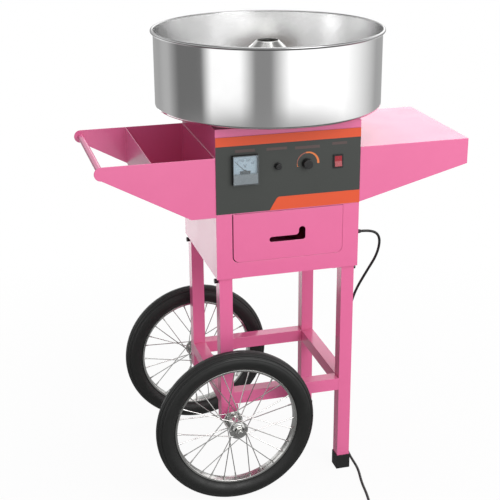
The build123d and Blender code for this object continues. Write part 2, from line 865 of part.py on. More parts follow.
with BuildPart() as fuse_cap:
    with BuildSketch(Plane.XZ.offset(fuse_cap_base)):
        with Locations(fuse_at):
            Circle(fuse_cap_radius)
    extrude(amount=fuse_cap_height)
    fillet(fuse_cap.faces().sort_by(Axis.Y)[0].edges(), fuse_cap_radius / 6)
    with BuildSketch(Plane.XZ.offset(fuse_cap_base + fuse_cap_height)):
        with Locations(fuse_at):
            Rectangle(3 * fuse_cap_radius, fuse_slot)
    extrude(amount=-fuse_slot, mode=Mode.SUBTRACT)
keep(fuse_cap, "fuse_cap")

knob_base = panel_face + flat_gap
shaft_tip = knob_base + regulator_shaft_grip

with BuildPart() as regulator_body:
    with BuildSketch(Plane.XZ.offset(half_depth - sheet)):
        with Locations(knob_at):
            Circle(regulator_can_radius)
    extrude(amount=-regulator_can_depth)
    with BuildSketch(Plane.XZ.offset(half_depth - sheet)):
        with Locations(knob_at):
            Circle(regulator_bush_radius)
    extrude(amount=panel_face - half_depth + sheet)
    with BuildSketch(Plane.XZ.offset(half_depth)):
        with Locations(knob_at):
            Circle(regulator_shaft_radius)
    extrude(amount=shaft_tip - half_depth)
keep(regulator_body, "regulator_body")

with BuildPart() as regulator_knob:
    with BuildSketch(Plane.XZ.offset(knob_base)):
        with Locations(knob_at):
            Circle(knob_skirt_radius)
    extrude(amount=knob_skirt_height)
    with BuildSketch(Plane.XZ.offset(knob_base)):
        with Locations(knob_at):
            Circle(knob_radius)
    extrude(amount=knob_height)
    fillet(regulator_knob.faces().sort_by(Axis.Y)[0].edges(), knob_radius / 10)
    with BuildSketch(Plane.XZ.offset(knob_base)):
        with Locations(knob_at):
            Circle(regulator_shaft_radius + running_gap)
    extrude(amount=regulator_shaft_grip + flat_gap, mode=Mode.SUBTRACT)
    with BuildSketch(Plane.XZ.offset(knob_base + knob_height)):
        with Locations((knob_at[0] - knob_radius / 2, knob_at[1] - knob_radius / 2)):
            Rectangle(knob_radius, knob_mark_width, rotation=45)
    extrude(amount=-knob_mark_width / 2, mode=Mode.SUBTRACT)
keep(regulator_knob, "regulator_knob")

bezel_face = panel_face + switch_proud
window_width = switch_width - 2 * switch_frame
window_height = switch_height - 2 * switch_frame
rocker_pivot = bezel_face - rocker_pivot_depth
rocker_width = window_width - 2 * rocker_side_gap
rocker_half = window_height / 2 - rocker_end_gap
rocker_place = (switch_at[0], -rocker_pivot, switch_at[1])
rocker_turn = radians(rocker_tilt)
rocker_plane = Plane(origin=rocker_place, x_dir=(0, -1, 0), z_dir=(-1, 0, 0))
tilted_plane = Plane(origin=rocker_place, x_dir=(0, -cos(rocker_turn), sin(rocker_turn)), z_dir=(-1, 0, 0))

with BuildPart() as switch_body:
    with BuildSketch(Plane.XZ.offset(panel_face)):
        with Locations(switch_at):
            Rectangle(switch_width, switch_height)
    extrude(amount=switch_proud)
    fillet(switch_body.edges().filter_by(Axis.Y), switch_frame / 2)
    with BuildSketch(Plane.XZ.offset(panel_face)):
        with Locations(switch_at):
            Rectangle(switch_hole_width, switch_hole_height)
    extrude(amount=-switch_body_depth)
    with BuildSketch(Plane.XZ.offset(bezel_face)):
        with Locations(switch_at):
            Rectangle(window_width, window_height)
    extrude(amount=-(switch_proud + switch_body_depth - switch_body_wall), mode=Mode.SUBTRACT)
    with BuildSketch(Plane.YZ.offset(switch_at[0])):
        with Locations((-rocker_pivot, switch_at[1])):
            Circle(rocker_pin_radius + running_gap)
    extrude(amount=window_width / 2 + rocker_pin_reach, both=True, mode=Mode.SUBTRACT)
keep(switch_body, "switch_body")

with BuildPart() as switch_rocker:
    with BuildSketch(tilted_plane):
        with BuildLine():
            Polyline(
                (rocker_face - rocker_dip, 0),
                (rocker_face, rocker_half),
                (0, rocker_half),
                (-rocker_back, 0),
                (0, -rocker_half),
                (rocker_face, -rocker_half),
                close=True,
            )
        make_face()
    extrude(amount=rocker_width / 2, both=True)
    with BuildSketch(rocker_plane):
        Circle(rocker_pin_radius)
    extrude(amount=window_width / 2 + rocker_pin_reach - 2 * running_gap, both=True)
keep(switch_rocker, "switch_rocker")

# ---------------------------------------------------------------- motor, shaft, slip rings and brushes

plate_under = housing_bottom + motor_plate_rise
plate_top = plate_under + motor_plate_thickness
plate_width = body_width - 2 * sheet
disc_under = plate_top + slip_disc_rise
ring_under = disc_under - slip_ring_height
head_under = housing_top + pad_height + head_rise
shaft_foot = plate_under - shaft_grip

with BuildPart() as motor_plate:
    with BuildSketch(Plane.XY.offset(plate_under)):
        Rectangle(plate_width, motor_plate_depth)
        Circle(shaft_radius + 2 * hole_gap, mode=Mode.SUBTRACT)
    extrude(amount=motor_plate_thickness)
    flange_x = (plate_width - motor_plate_thickness) / 2
    with BuildSketch(Plane.XY.offset(plate_under)):
        with Locations((-flange_x, 0), (flange_x, 0)):
            Rectangle(motor_plate_thickness, motor_plate_depth)
    extrude(amount=-motor_plate_flange)
keep(motor_plate, "motor_plate")

with BuildPart() as motor:
    with BuildSketch(Plane.XY.offset(plate_under)):
        Circle(motor_radius)
    extrude(amount=-motor_height)
    fillet(motor.faces().sort_by(Axis.Z)[0].edges(), motor_radius / 8)
    with BuildSketch(Plane.XY.offset(plate_under)):
        Circle(shaft_radius + running_gap)
    extrude(amount=-(shaft_grip + flat_gap), mode=Mode.SUBTRACT)
keep(motor, "motor")

with BuildPart() as drive_shaft:
    with BuildSketch(Plane.XY.offset(shaft_foot)):
        Circle(shaft_radius)
    extrude(amount=head_under + head_shaft_in_base - shaft_foot)
    chamfer(drive_shaft.edges().filter_by(GeomType.CIRCLE), shaft_radius / 8)
keep(drive_shaft, "drive_shaft")

with BuildPart() as slip_ring_disc:
    with BuildSketch(Plane.XY.offset(disc_under)):
        Circle(slip_disc_radius)
        Circle(shaft_radius + running_gap, mode=Mode.SUBTRACT)
    extrude(amount=slip_disc_thickness)
    for ring_radius in slip_ring_radii:
        with BuildSketch(Plane.XY.offset(disc_under)):
            Circle(ring_radius + slip_ring_width / 2)
            Circle(ring_radius - slip_ring_width / 2, mode=Mode.SUBTRACT)
        extrude(amount=-slip_ring_height)
keep(slip_ring_disc, "slip_ring_disc")

brush_top = ring_under - flat_gap
block_top = brush_top - brush_length
block_left = min(slip_ring_radii) - brush_block_margin
block_right = max(slip_ring_radii) + brush_block_margin

with BuildPart() as brush_holder:
    with BuildSketch(Plane.XY.offset(plate_top)):
        with Locations(((block_left + block_right) / 2, 0)):
            Rectangle(block_right - block_left, brush_block_depth)
    extrude(amount=block_top - plate_top)
    with BuildSketch(Plane.XY.offset(block_top)):
        with Locations(*[(ring_radius, 0) for ring_radius in slip_ring_radii]):
            Circle(brush_radius)
    extrude(amount=brush_length)
keep(brush_holder, "brush_holder")

# ---------------------------------------------------------------- bowl and its pads

bowl_under = housing_top + pad_height
bowl_top = bowl_under + bowl_height
wall_outer = bowl_radius - 2 * bowl_bead_radius + bowl_sheet
bead_mid_radius = bowl_radius - bowl_bead_radius
bead_mid_z = bowl_top - bowl_bead_radius
wall_radius = wall_outer - bowl_sheet / 2
corner_radius = wall_outer - bowl_corner
corner_top = bowl_under + bowl_corner

with BuildPart() as bowl_wall:
    with BuildSketch(Plane.XZ):
        with Locations((wall_radius, (corner_top + bead_mid_z) / 2)):
            Rectangle(bowl_sheet, bead_mid_z - corner_top)
        with Locations((bead_mid_radius, bead_mid_z)):
            Circle(bowl_bead_radius)
            Circle(bowl_bead_radius - bowl_sheet, mode=Mode.SUBTRACT)
        with Locations((bead_mid_radius, bead_mid_z - bowl_bead_radius)):
            Rectangle(bowl_bead_slit, bowl_bead_radius, mode=Mode.SUBTRACT)
    revolve(axis=Axis.Z)
keep(bowl_wall, "bowl_wall")

with BuildPart() as bowl_floor:
    with BuildSketch(Plane.XZ):
        with Locations(((bowl_hole_radius + corner_radius) / 2, bowl_under + bowl_sheet / 2)):
            Rectangle(corner_radius - bowl_hole_radius, bowl_sheet)
        with Locations((bowl_hole_radius + bowl_sheet / 2, bowl_under + bowl_collar / 2)):
            Rectangle(bowl_sheet, bowl_collar)
        with BuildLine():
            CenterArc((corner_radius, corner_top), bowl_corner, -90, 90)
            Line((wall_outer, corner_top), (wall_outer - bowl_sheet, corner_top))
            CenterArc((corner_radius, corner_top), bowl_corner - bowl_sheet, -90, 90)
            Line((corner_radius, bowl_under), (corner_radius, bowl_under + bowl_sheet))
        make_face()
    revolve(axis=Axis.Z)
keep(bowl_floor, "bowl_floor")

with BuildPart() as bowl_pads:
    with BuildSketch(Plane.XY.offset(housing_top)):
        with GridLocations(2 * pad_spread, 2 * pad_spread, 2, 2):
            Circle(pad_radius)
    extrude(amount=pad_height)
keep(bowl_pads, "bowl_pads")

# ---------------------------------------------------------------- spinner head

base_top = head_under + head_base_thickness
heater_top = base_top + heater_height
heater_outer = head_radius - heater_inset
heater_mid = (base_top + heater_top) / 2
cap_base = heater_top
cap_top = cap_base + cap_height
boss_bottom = head_under - head_boss_drop

with BuildPart() as head_base:
    with BuildSketch(Plane.XY.offset(head_under)):
        Circle(head_radius)
    extrude(amount=head_base_thickness)
    with BuildSketch(Plane.XY.offset(boss_bottom)):
        Circle(head_boss_radius)
    extrude(amount=head_boss_drop + head_shaft_in_base + head_base_thickness)
    with BuildSketch(Plane.XY.offset(boss_bottom)):
        Circle(shaft_radius + running_gap)
    extrude(amount=head_boss_drop + head_shaft_in_base + flat_gap, mode=Mode.SUBTRACT)
keep(head_base, "head_base")

with BuildPart() as heater_ring:
    with BuildSketch(Plane.XY.offset(base_top)):
        Circle(heater_outer)
        Circle(heater_outer - heater_wall, mode=Mode.SUBTRACT)
    extrude(amount=heater_height)
    with BuildSketch(Plane.XY.offset(base_top + heater_slot_margin)):
        with PolarLocations(heater_outer - heater_wall / 2, heater_slots):
            Rectangle(3 * heater_wall, heater_slot_width)
    extrude(amount=heater_height - 2 * heater_slot_margin, mode=Mode.SUBTRACT)
keep(heater_ring, "heater_ring")

with BuildPart() as head_cap:
    with BuildSketch(Plane.XZ):
        with BuildLine():
            Polyline(
                (head_radius, cap_base),
                (head_top_radius, cap_top),
                (head_top_radius - cap_lip_width, cap_top),
                (head_top_radius - cap_lip_width, cap_top - cap_lip_height),
                (head_top_radius - cap_wall, cap_top - cap_lip_height),
                (head_radius - 2 * heater_wall - heater_inset, cap_base + cap_wall),
                (head_radius - 2 * heater_wall - heater_inset, cap_base),
                close=True,
            )
        make_face()
    revolve(axis=Axis.Z)
keep(head_cap, "head_cap")

# ---------------------------------------------------------------- power cord

gland_tip = half_width + gland_nut_length + gland_relief_length

with BuildPart() as cord_gland:
    with BuildSketch(Plane.YZ.offset(half_width)):
        with Locations((gland_y, gland_z)):
            RegularPolygon(gland_nut_radius, 6)
    extrude(amount=gland_nut_length)
    with BuildSketch(Plane.YZ.offset(half_width - sheet - gland_inner_nut)):
        with Locations((gland_y, gland_z)):
            Circle(gland_thread_radius)
    extrude(amount=sheet + gland_inner_nut)
    with BuildSketch(Plane.YZ.offset(half_width - sheet)):
        with Locations((gland_y, gland_z)):
            RegularPolygon(gland_nut_radius, 6)
    extrude(amount=-gland_inner_nut)
    with BuildSketch(Plane.YZ.offset(half_width + gland_nut_length)):
        with Locations((gland_y, gland_z)):
            Circle(gland_relief_radius)
    with BuildSketch(Plane.YZ.offset(gland_tip)):
        with Locations((gland_y, gland_z)):
            Circle(gland_tip_radius)
    loft()
keep(cord_gland, "cord_gland")

coil_x, coil_y = coil_center
cord_diameter = 2 * cord_radius
coil_lead = cord_diameter
run_end = (coil_x + coil_outer_radius, coil_y + coil_lead, cord_radius)

cord_route = [
    (gland_tip, gland_y, gland_z),
    (221, gland_y, gland_z),
    (242, -106, 568),
    (240, -94, 522),
    (222, -75, 474),
    (200, -56, 416),
    (189, -44, 352),
    (183, -41, 286),
    (185, -39, 220),
    (182, -42, 158),
    (185, -40, 100),
    (182, -44, 48),
    (182, -72, cord_radius),
    (177, -122, cord_radius),
    (176, -178, cord_radius),
    (162, -236, cord_radius),
    (155, -294, cord_radius),
    (run_end[0], -352, cord_radius),
    run_end,
]


def route_radii(points):
    """The radius of each corner of a route: 0.45 of the shorter run beside it, over the tangent of half its turn."""
    found = []
    for before, corner, after in zip(points, points[1:], points[2:]):
        first = Vector(*corner) - Vector(*before)
        second = Vector(*after) - Vector(*corner)
        half_turn = radians(first.get_angle(second)) / 2
        found.append(0.45 * min(first.length, second.length) / tan(half_turn))
    return found


cord_radii = route_radii(cord_route)
print("cord radii:", [round(r) for r in cord_radii])

with BuildPart() as cord_run:
    with BuildLine() as run_path:
        FilletPolyline(*cord_route, radius=cord_radii)
    with BuildSketch(Plane(origin=cord_route[0], z_dir=run_path.line % 0)):
        Circle(cord_radius)
    sweep()
keep(cord_run, "cord_run")
run_length = run_path.wire().length
cord_section = pi * cord_radius**2
print("cord run length:", round(run_length), "volume over section:", round(cord_run.part.volume / cord_section))


coil_turns = coil_turns_in + coil_climb_turns + coil_turns_out


def coil_point(turn):
    """Where the coil's line is after so many turns, and its direction there."""
    middle = coil_turns / 2
    climbed = min(max((turn - coil_turns_in) / coil_climb_turns, 0), 1)
    radius = coil_outer_radius - coil_pitch * min(turn, coil_turns - turn)
    growth = coil_pitch * ((turn > middle) - (turn < middle))
    height = cord_radius + coil_pitch * climbed**2 * (3 - 2 * climbed)
    steepness = coil_pitch * 6 * climbed * (1 - climbed) / coil_climb_turns
    angle = -2 * pi * turn
    outward = Vector(cos(angle), sin(angle), 0)
    along = Vector(sin(angle), -cos(angle), 0)
    place = Vector(coil_x, coil_y, height) + outward * radius
    heading = outward * growth + along * (2 * pi * radius) + Vector(0, 0, steepness)
    return place, heading.normalized()


coil_steps = round(4 * coil_turns)
coil_nodes = [coil_point(step / 4) for step in range(coil_steps + 1)]
coil_nodes[0] = (coil_nodes[0][0], Vector(0, -1, 0))
coil_exit = Vector(0, cos(2 * pi * coil_turns) * -1, 0)
coil_nodes[-1] = (coil_nodes[-1][0], coil_exit)
coil_end = coil_nodes[-1][0] + coil_exit * coil_exit_length


def biarc(start, end):
    """Two arcs from one place and direction to another, each a circle's arc, tangent to each other where they meet."""
    (p, a), (q, b) = start, end
    chord = q - p
    both = a + b
    square = 2 * (1 - a.dot(b))
    across = chord.dot(both)
    reach = (-across + (across**2 + square * chord.dot(chord)) ** 0.5) / square
    joint = (p + a * reach + q - b * reach) * 0.5
    TangentArc(p, joint, tangent=a)
    TangentArc(q, joint, tangent=b * -1)


with BuildPart() as cord_coil:
    with BuildLine() as coil_path:
        Line(Vector(*run_end), coil_nodes[0][0])
        for start, end in zip(coil_nodes, coil_nodes[1:]):
            biarc(start, end)
        Line(coil_nodes[-1][0], coil_end)
    with BuildSketch(Plane(origin=run_end, z_dir=(0, -1, 0))):
        Circle(cord_radius)
    sweep()
keep(cord_coil, "cord_coil")


def least_self_gap(path, samples):
    """The least gap between a tube's surface and itself, measured on points along its line."""
    length = path.length
    points = [path @ (step / samples) for step in range(samples + 1)]
    skip = int(3 * cord_diameter / length * samples)
    least = length
    for here in range(0, samples + 1, 2):
        for there in range(here + skip, samples + 1, 2):
            least = min(least, (points[here] - points[there]).length)
    return least - cord_diameter


coil_length = coil_path.wire().length
print("coil length:", round(coil_length), "volume over section:", round(cord_coil.part.volume / cord_section))
print("cord length:", round(run_length + coil_length))
print("coil least self gap:", round(least_self_gap(coil_path.wire(), 700), 2))

plug_z = coil_end.Z
plug_mid_x = coil_end.X
plug_way = coil_exit.Y
relief_end = coil_end.Y + plug_way * plug_relief_length
body_end = relief_end + plug_way * plug_body_length

with BuildPart() as plug:
    with BuildSketch(Plane.XZ.offset(-coil_end.Y)):
        with Locations((plug_mid_x, plug_z)):
            Circle(plug_tip_radius)
    with BuildSketch(Plane.XZ.offset(-relief_end)):
        with Locations((plug_mid_x, plug_z)):
            Circle(plug_relief_radius)
    loft()
    with BuildSketch(Plane.XZ.offset(-relief_end)):
        with Locations((plug_mid_x, plug_z)):
            RectangleRounded(plug_body_width, 2 * plug_z, plug_corner)
    extrude(amount=-plug_way * plug_body_length)
    pin_offset = plug_pin_spacing / 2
    with BuildSketch(Plane.XZ.offset(-body_end)):
        with Locations((plug_mid_x - pin_offset, plug_z), (plug_mid_x + pin_offset, plug_z)):
            Circle(plug_pin_radius)
    extrude(amount=-plug_way * plug_pin_length)
keep(plug, "plug")
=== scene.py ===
"""Blender scene of a cotton candy machine on a two-wheeled push cart.

Lengths in the dataclass fields are millimetres in the row's frame: X to the right, Y to the back, Z up. Blender
works in metres, so each mesh is made in millimetres and scaled once by MM when it is finished.
"""

import logging
from collections.abc import Sequence
from dataclasses import dataclass
from enum import Enum
from itertools import product
from math import acos, atan2, cos, degrees, pi, radians, sin

import bmesh
import bpy
from mathutils import Matrix, Vector


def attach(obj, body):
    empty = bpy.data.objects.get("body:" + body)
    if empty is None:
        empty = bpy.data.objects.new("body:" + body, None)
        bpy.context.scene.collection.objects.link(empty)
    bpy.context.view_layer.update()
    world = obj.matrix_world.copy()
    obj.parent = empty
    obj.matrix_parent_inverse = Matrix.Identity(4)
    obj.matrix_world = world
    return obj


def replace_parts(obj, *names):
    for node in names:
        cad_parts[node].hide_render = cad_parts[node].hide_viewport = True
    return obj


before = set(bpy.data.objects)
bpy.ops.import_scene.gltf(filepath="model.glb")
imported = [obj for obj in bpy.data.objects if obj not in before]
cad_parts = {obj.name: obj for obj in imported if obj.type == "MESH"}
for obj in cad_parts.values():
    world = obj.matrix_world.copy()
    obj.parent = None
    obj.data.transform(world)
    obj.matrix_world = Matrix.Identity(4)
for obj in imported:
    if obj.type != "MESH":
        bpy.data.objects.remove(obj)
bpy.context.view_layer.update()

LOG = logging.getLogger("cotton_candy_cart")
MM = 0.001
SMOOTH_ANGLE = radians(30)
FLAT_ANGLE = radians(14)
FOLD_ANGLE = radians(40)
SMOOTHEST = 0.02
COAT_ROUGHNESS = 0.08
WHITE = (1.0, 1.0, 1.0, 1.0)
FINE = (0.8, 0.8, 0.8)
SPUN = (60.0, 60.0, 6.0)
X_AXIS, Y_AXIS, Z_AXIS = Vector((1, 0, 0)), Vector((0, 1, 0)), Vector((0, 0, 1))
ORIGIN = Vector((0, 0, 0))
Point = tuple[float, float]
Place = Sequence[float]
Socket = bpy.types.NodeSocket
Tree = bpy.types.NodeTree
Mesh = bmesh.types.BMesh
Look = bpy.types.Material
Piece = bpy.types.Object


class Body(Enum):
    """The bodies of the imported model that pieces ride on."""

    CART = "cart"
    DRAWER = "drawer"
    WHEEL_FRONT = "wheel_front"
    WHEEL_REAR = "wheel_rear"
    SPINNER = "spinner"
    BOWL = "bowl_body"
    ROCKER = "rocker"


class Slot(Enum):
    """The record's material slots."""

    PINK = "pink_paint"
    PANEL = "grey_panel"
    FILM = "orange_film"
    STAINLESS = "stainless"
    PLATED = "plated_steel"
    TYRE = "tyre_rubber"
    FOOT = "foot_rubber"
    BLACK = "black_plastic"
    RED = "red_plastic"
    CARD = "dial_card"
    CABLE = "cable_jacket"


# ---- nodes and finishes


def linear(hex_colour: str) -> tuple[float, float, float, float]:
    """Turns an sRGB hex colour into linear RGBA.

    Args:
        hex_colour: Six hex digits after a hash.

    Returns:
        Linear red, green and blue, and an alpha of 1.
    """
    parts = [int(hex_colour[i : i + 2], 16) / 255 for i in (1, 3, 5)]
    r, g, b = (c / 12.92 if c <= 0.04045 else ((c + 0.055) / 1.055) ** 2.4 for c in parts)
    return (r, g, b, 1.0)


def add_node(tree: Tree, kind: str, inputs: dict | None = None, **settings: object) -> bpy.types.Node:
    """Adds a node with its settings and links.

    Args:
        tree: The node tree.
        kind: The node's type name after "ShaderNode".
        inputs: Socket name or number, to a value or to the socket that feeds it.
        **settings: The node's own properties.

    Returns:
        The new node.
    """
    node = tree.nodes.new("ShaderNode" + kind)
    for key, value in settings.items():
        setattr(node, key, value)
    for key, value in (inputs or {}).items():
        if isinstance(value, Socket):
            tree.links.new(value, node.inputs[key])
        else:
            node.inputs[key].default_value = value
    return node


def map_range(tree: Tree, value: Socket, source: Point, target: Sequence = (0.0, 1.0)) -> Socket:
    """Maps a value from one range to another, clamped.

    Args:
        tree: The node tree.
        value: What is mapped.
        source: The range that it comes from.
        target: The range that it goes to, of numbers or sockets.

    Returns:
        The mapped value.
    """
    ends = {"From Min": source[0], "From Max": source[1], "To Min": target[0], "To Max": target[1]}
    return add_node(tree, "MapRange", {"Value": value, **ends}).outputs["Result"]


def blend(tree: Tree, factor: Socket, first: Socket | float, second: Socket | float) -> Socket:
    """Blends two values.

    Args:
        tree: The node tree.
        factor: The second value's share.
        first: The first value.
        second: The second value.

    Returns:
        The blend.
    """
    return add_node(tree, "Mix", {"Factor": factor, "A": first, "B": second}).outputs[0]


def seen_directly(tree: Tree, path: bpy.types.Node) -> Socket:
    """Tells rays that show the background as it is: from the camera, or through something clear.

    Args:
        tree: The node tree.
        path: The light path node.

    Returns:
        1 for such rays and 0 for others.
    """
    ends = {0: path.outputs["Is Camera Ray"], 1: path.outputs["Is Transmission Ray"]}
    return add_node(tree, "Math", ends, operation="ADD", use_clamp=True).outputs[0]


def link(name: str, data: bpy.types.ID) -> Piece:
    """Makes an object and puts it in the scene.

    Args:
        name: Its name.
        data: Its mesh, curve, camera or lamp.

    Returns:
        The object.
    """
    made = bpy.data.objects.new(name, data)
    bpy.context.scene.collection.objects.link(made)
    return made


def empty_material(name: str) -> Look:
    """Makes a material with an empty node tree.

    Args:
        name: The material's name.

    Returns:
        The material.
    """
    material = bpy.data.materials.new(name)
    material.use_nodes = True
    material.node_tree.nodes.clear()
    return material


@dataclass(frozen=True)
class Finish:
    """A surface finish: one shader, a grain in its bump, and a slow change of tone.

    Attributes:
        name: What the finish is called.
        colour: Its colour, sRGB.
        shade: The tone that its slow pattern drifts to, sRGB.
        roughness: Roughness at the pattern's middle.
        roughness_drift: How far roughness wanders either way.
        metallic: 0 or 1.
        ior: Index of refraction, for what isn't metal.
        grain: The bump's grain size along each axis, mm.
        depth: The bump's depth, mm.
        drift: The size of the slow pattern, mm.
        coat: Weight of a clear coat.
        alpha: Opacity.
    """

    name: str
    colour: str
    shade: str
    roughness: float
    roughness_drift: float = 0.03
    metallic: float = 0.0
    ior: float = 1.5
    grain: Place = (1.0, 1.0, 1.0)
    depth: float = 0.02
    drift: float = 60.0
    coat: float = 0.0
    alpha: float = 1.0

    def build(self) -> Look:
        """Builds the material.

        Returns:
            A material that reads Object coordinates only.
        """
        material = empty_material(self.name)
        tree = material.node_tree
        place = add_node(tree, "TexCoord").outputs["Object"]
        slow = add_node(
            tree, "TexNoise",
            {"Vector": place, "Scale": 1 / (self.drift * MM), "Detail": 3.0, "Roughness": 0.55},
        ).outputs["Fac"]
        tones = {"Factor": slow, "A": linear(self.colour), "B": linear(self.shade)}
        tone = add_node(tree, "Mix", tones, data_type="RGBA").outputs[2]
        low, high = max(self.roughness - self.roughness_drift, SMOOTHEST), self.roughness + self.roughness_drift
        rough = map_range(tree, slow, (0.3, 0.7), (low, high))
        stretch = [1 / (size * MM) for size in self.grain]
        finer = add_node(tree, "Mapping", {"Vector": place, "Scale": stretch}).outputs["Vector"]
        grain = add_node(tree, "TexNoise", {"Vector": finer, "Scale": 1.0, "Detail": 2.0}).outputs["Fac"]
        bump = add_node(
            tree, "Bump", {"Height": grain, "Distance": self.depth * MM, "Strength": 1.0}
        ).outputs["Normal"]
        shader = add_node(
            tree, "BsdfPrincipled",
            {
                "Base Color": tone, "Roughness": rough, "Normal": bump, "Metallic": self.metallic, "IOR": self.ior,
                "Coat Weight": self.coat, "Coat Roughness": COAT_ROUGHNESS, "Alpha": self.alpha,
            },
        )
        add_node(tree, "OutputMaterial", {"Surface": shader.outputs["BSDF"]})
        return material


class Finishes:
    """Every finish of the machine, built once."""

    def __init__(self) -> None:
        """Builds the materials."""
        # Baked polyester powder coat with a faint orange peel.
        self.pink = Finish("powder_coat_pink", "#DF6B9A", "#DA6695", 0.24, grain=(2, 2, 2), coat=0.25).build()
        # Printed polyester overlay whose fine tooth dulls the lamps.
        self.panel = Finish("overlay_film_grey", "#383B38", "#343734", 0.45, grain=FINE, drift=90).build()
        # Vinyl strip, smoother than the overlay.
        self.film = Finish("vinyl_film_orange", "#D94F26", "#D44C23", 0.4, grain=(1.5,) * 3).build()
        # Captions on the overlay, worn dull.
        self.print = Finish("screen_print_brown", "#564644", "#4E403E", 0.5, grain=FINE).build()
        # The scale round the regulator, in a weak and a strong ink.
        self.scale_weak = Finish("screen_print_rose", "#96594C", "#8A5246", 0.5, grain=FINE).build()
        self.scale_strong = Finish("screen_print_orange", "#DB7A40", "#D2713A", 0.5, grain=FINE).build()
        # Spun 304 sheet, polished, with hardly visible lines round the bowl.
        self.bowl = Finish(
            "polished_stainless", "#EAEAEA", "#E6E6E6", 0.1, 0.02, 1.0, grain=(60, 60, 0.7), depth=0.002
        ).build()
        # The same sheet rubbed to a satin, so reflections spread into soft bands.
        self.bowl_inside = Finish(
            "satin_stainless", "#EFEFEF", "#EAEAEA", 0.22, 0.02, 1.0, grain=SPUN, depth=0.0
        ).build()
        # The rolled rim, darker than the bowl: its tone is painted shade for the dark line along the rim.
        self.rim = Finish("rim_stainless_painted_shade", "#A8A8A8", "#9C9C9C", 0.22, 0.02, 1.0, grain=SPUN, depth=0.0).build()
        # Turned aluminium, fine lathe rings.
        self.turned = Finish(
            "turned_aluminium", "#CFCFCD", "#BDBDBB", 0.22, 0.05, 1.0, grain=(30, 30, 0.9), depth=0.01
        ).build()
        # Folded galvanised sheet: grey with soft spangle.
        self.sheet = Finish("galvanised_sheet", "#A9ADAE", "#959A9C", 0.35, 0.08, 1.0, drift=12).build()
        # Plate on spokes, rims, hubs and nuts.
        self.plated = Finish("chrome_plate", "#D0D0CE", "#B9B9B6", 0.2, 0.05, 1.0, depth=0.005).build()
        # Tyre rubber, dusty on the sides.
        self.tyre = Finish(
            "moulded_tyre_rubber", "#171817", "#101110", 0.48, 0.1, grain=(0.9,) * 3, depth=0.05, drift=25
        ).build()
        # Moulded rubber feet.
        self.foot = Finish("moulded_rubber", "#121212", "#0E0E0E", 0.6, 0.06, grain=FINE).build()
        # Black ABS and phenolic fittings.
        self.black = Finish("moulded_abs_black", "#151516", "#101011", 0.38, 0.05, grain=(0.7,) * 3).build()
        # Soft PVC of the cord and its plug.
        self.cable = Finish("pvc_jacket_black", "#1E1F1F", "#171818", 0.45, 0.05, grain=(0.9,) * 3).build()
        # Red polycarbonate rocker, glossy.
        self.red = Finish("polycarbonate_red", "#9C1024", "#8C0C1E", 0.36, 0.02, coat=0.1, depth=0.004).build()
        # Pale marks moulded into the rocker.
        self.pale = Finish("print_pale_rose", "#C4606E", "#B85664", 0.45, depth=0.004).build()
        # The meter's dial.
        self.card = Finish("dial_card_pale", "#A6B9C6", "#9AADBA", 0.5, depth=0.004, drift=30).build()
        # The meter's lower cover.
        self.frosted = Finish("frosted_acrylic", "#7D8488", "#6E7579", 0.35, 0.05, coat=0.2, drift=10).build()
        # The meter's window.
        self.clear = Finish("clear_acrylic", "#C8D4DA", "#C0CCD2", 0.06, 0.01, ior=1.49, depth=0.0, alpha=0.1).build()
        # Slip rings and the regulator's shaft.
        self.brass = Finish("turned_brass", "#C9A55C", "#B8934C", 0.28, 0.05, 1.0, grain=(20, 20, 0.8)).build()
        # The motor's body.
        self.enamel = Finish("enamel_charcoal", "#3A3B3D", "#333436", 0.4, 0.05).build()
        # The heating element's band.
        self.heater = Finish("oxidised_steel", "#8A7E74", "#6E645C", 0.4, 0.08, 1.0, drift=15).build()


# ---- mesh tools


def outwards(angle: float) -> Vector:
    """Gives a direction in the XZ plane.

    Args:
        angle: Its angle from X towards Z, radians.

    Returns:
        The direction.
    """
    return Vector((cos(angle), 0, sin(angle)))


def finish_mesh(
    made: Mesh, name: str, material: Look, body: Body = Body.CART, recalc: bool = True,
    smooth: float = SMOOTH_ANGLE,
) -> Piece:
    """Turns a bmesh in millimetres into a finished piece.

    Args:
        made: The bmesh, which is freed.
        name: The piece's name.
        material: Its finish.
        body: The body that it rides on.
        recalc: Whether to turn the faces outwards.
        smooth: Edges that turn more than this stay sharp, radians.

    Returns:
        The piece, in metres, at the origin.
    """
    bmesh.ops.remove_doubles(made, verts=made.verts, dist=1e-4)
    if recalc:
        bmesh.ops.recalc_face_normals(made, faces=made.faces)
    bmesh.ops.scale(made, vec=(MM, MM, MM), verts=made.verts)
    mesh = bpy.data.meshes.new(name)
    made.to_mesh(mesh)
    made.free()
    for polygon in mesh.polygons:
        polygon.use_smooth = True
    mesh.set_sharp_from_angle(angle=smooth)
    mesh.materials.append(material)
    piece = link(name, mesh)
    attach(piece, body.value)
    return piece


def arc(centre: Point, radius: float, start: float, end: float, steps: int) -> list[Point]:
    """Gives points along an arc of a profile.

    Args:
        centre: The arc's centre.
        radius: Its radius.
        start: Its first angle, degrees.
        end: Its last angle, degrees.
        steps: How many parts it has.

    Returns:
        The points, both ends included.
    """
    turns = [radians(start + (end - start) * i / steps) for i in range(steps + 1)]
    return [(centre[0] + radius * cos(t), centre[1] + radius * sin(t)) for t in turns]


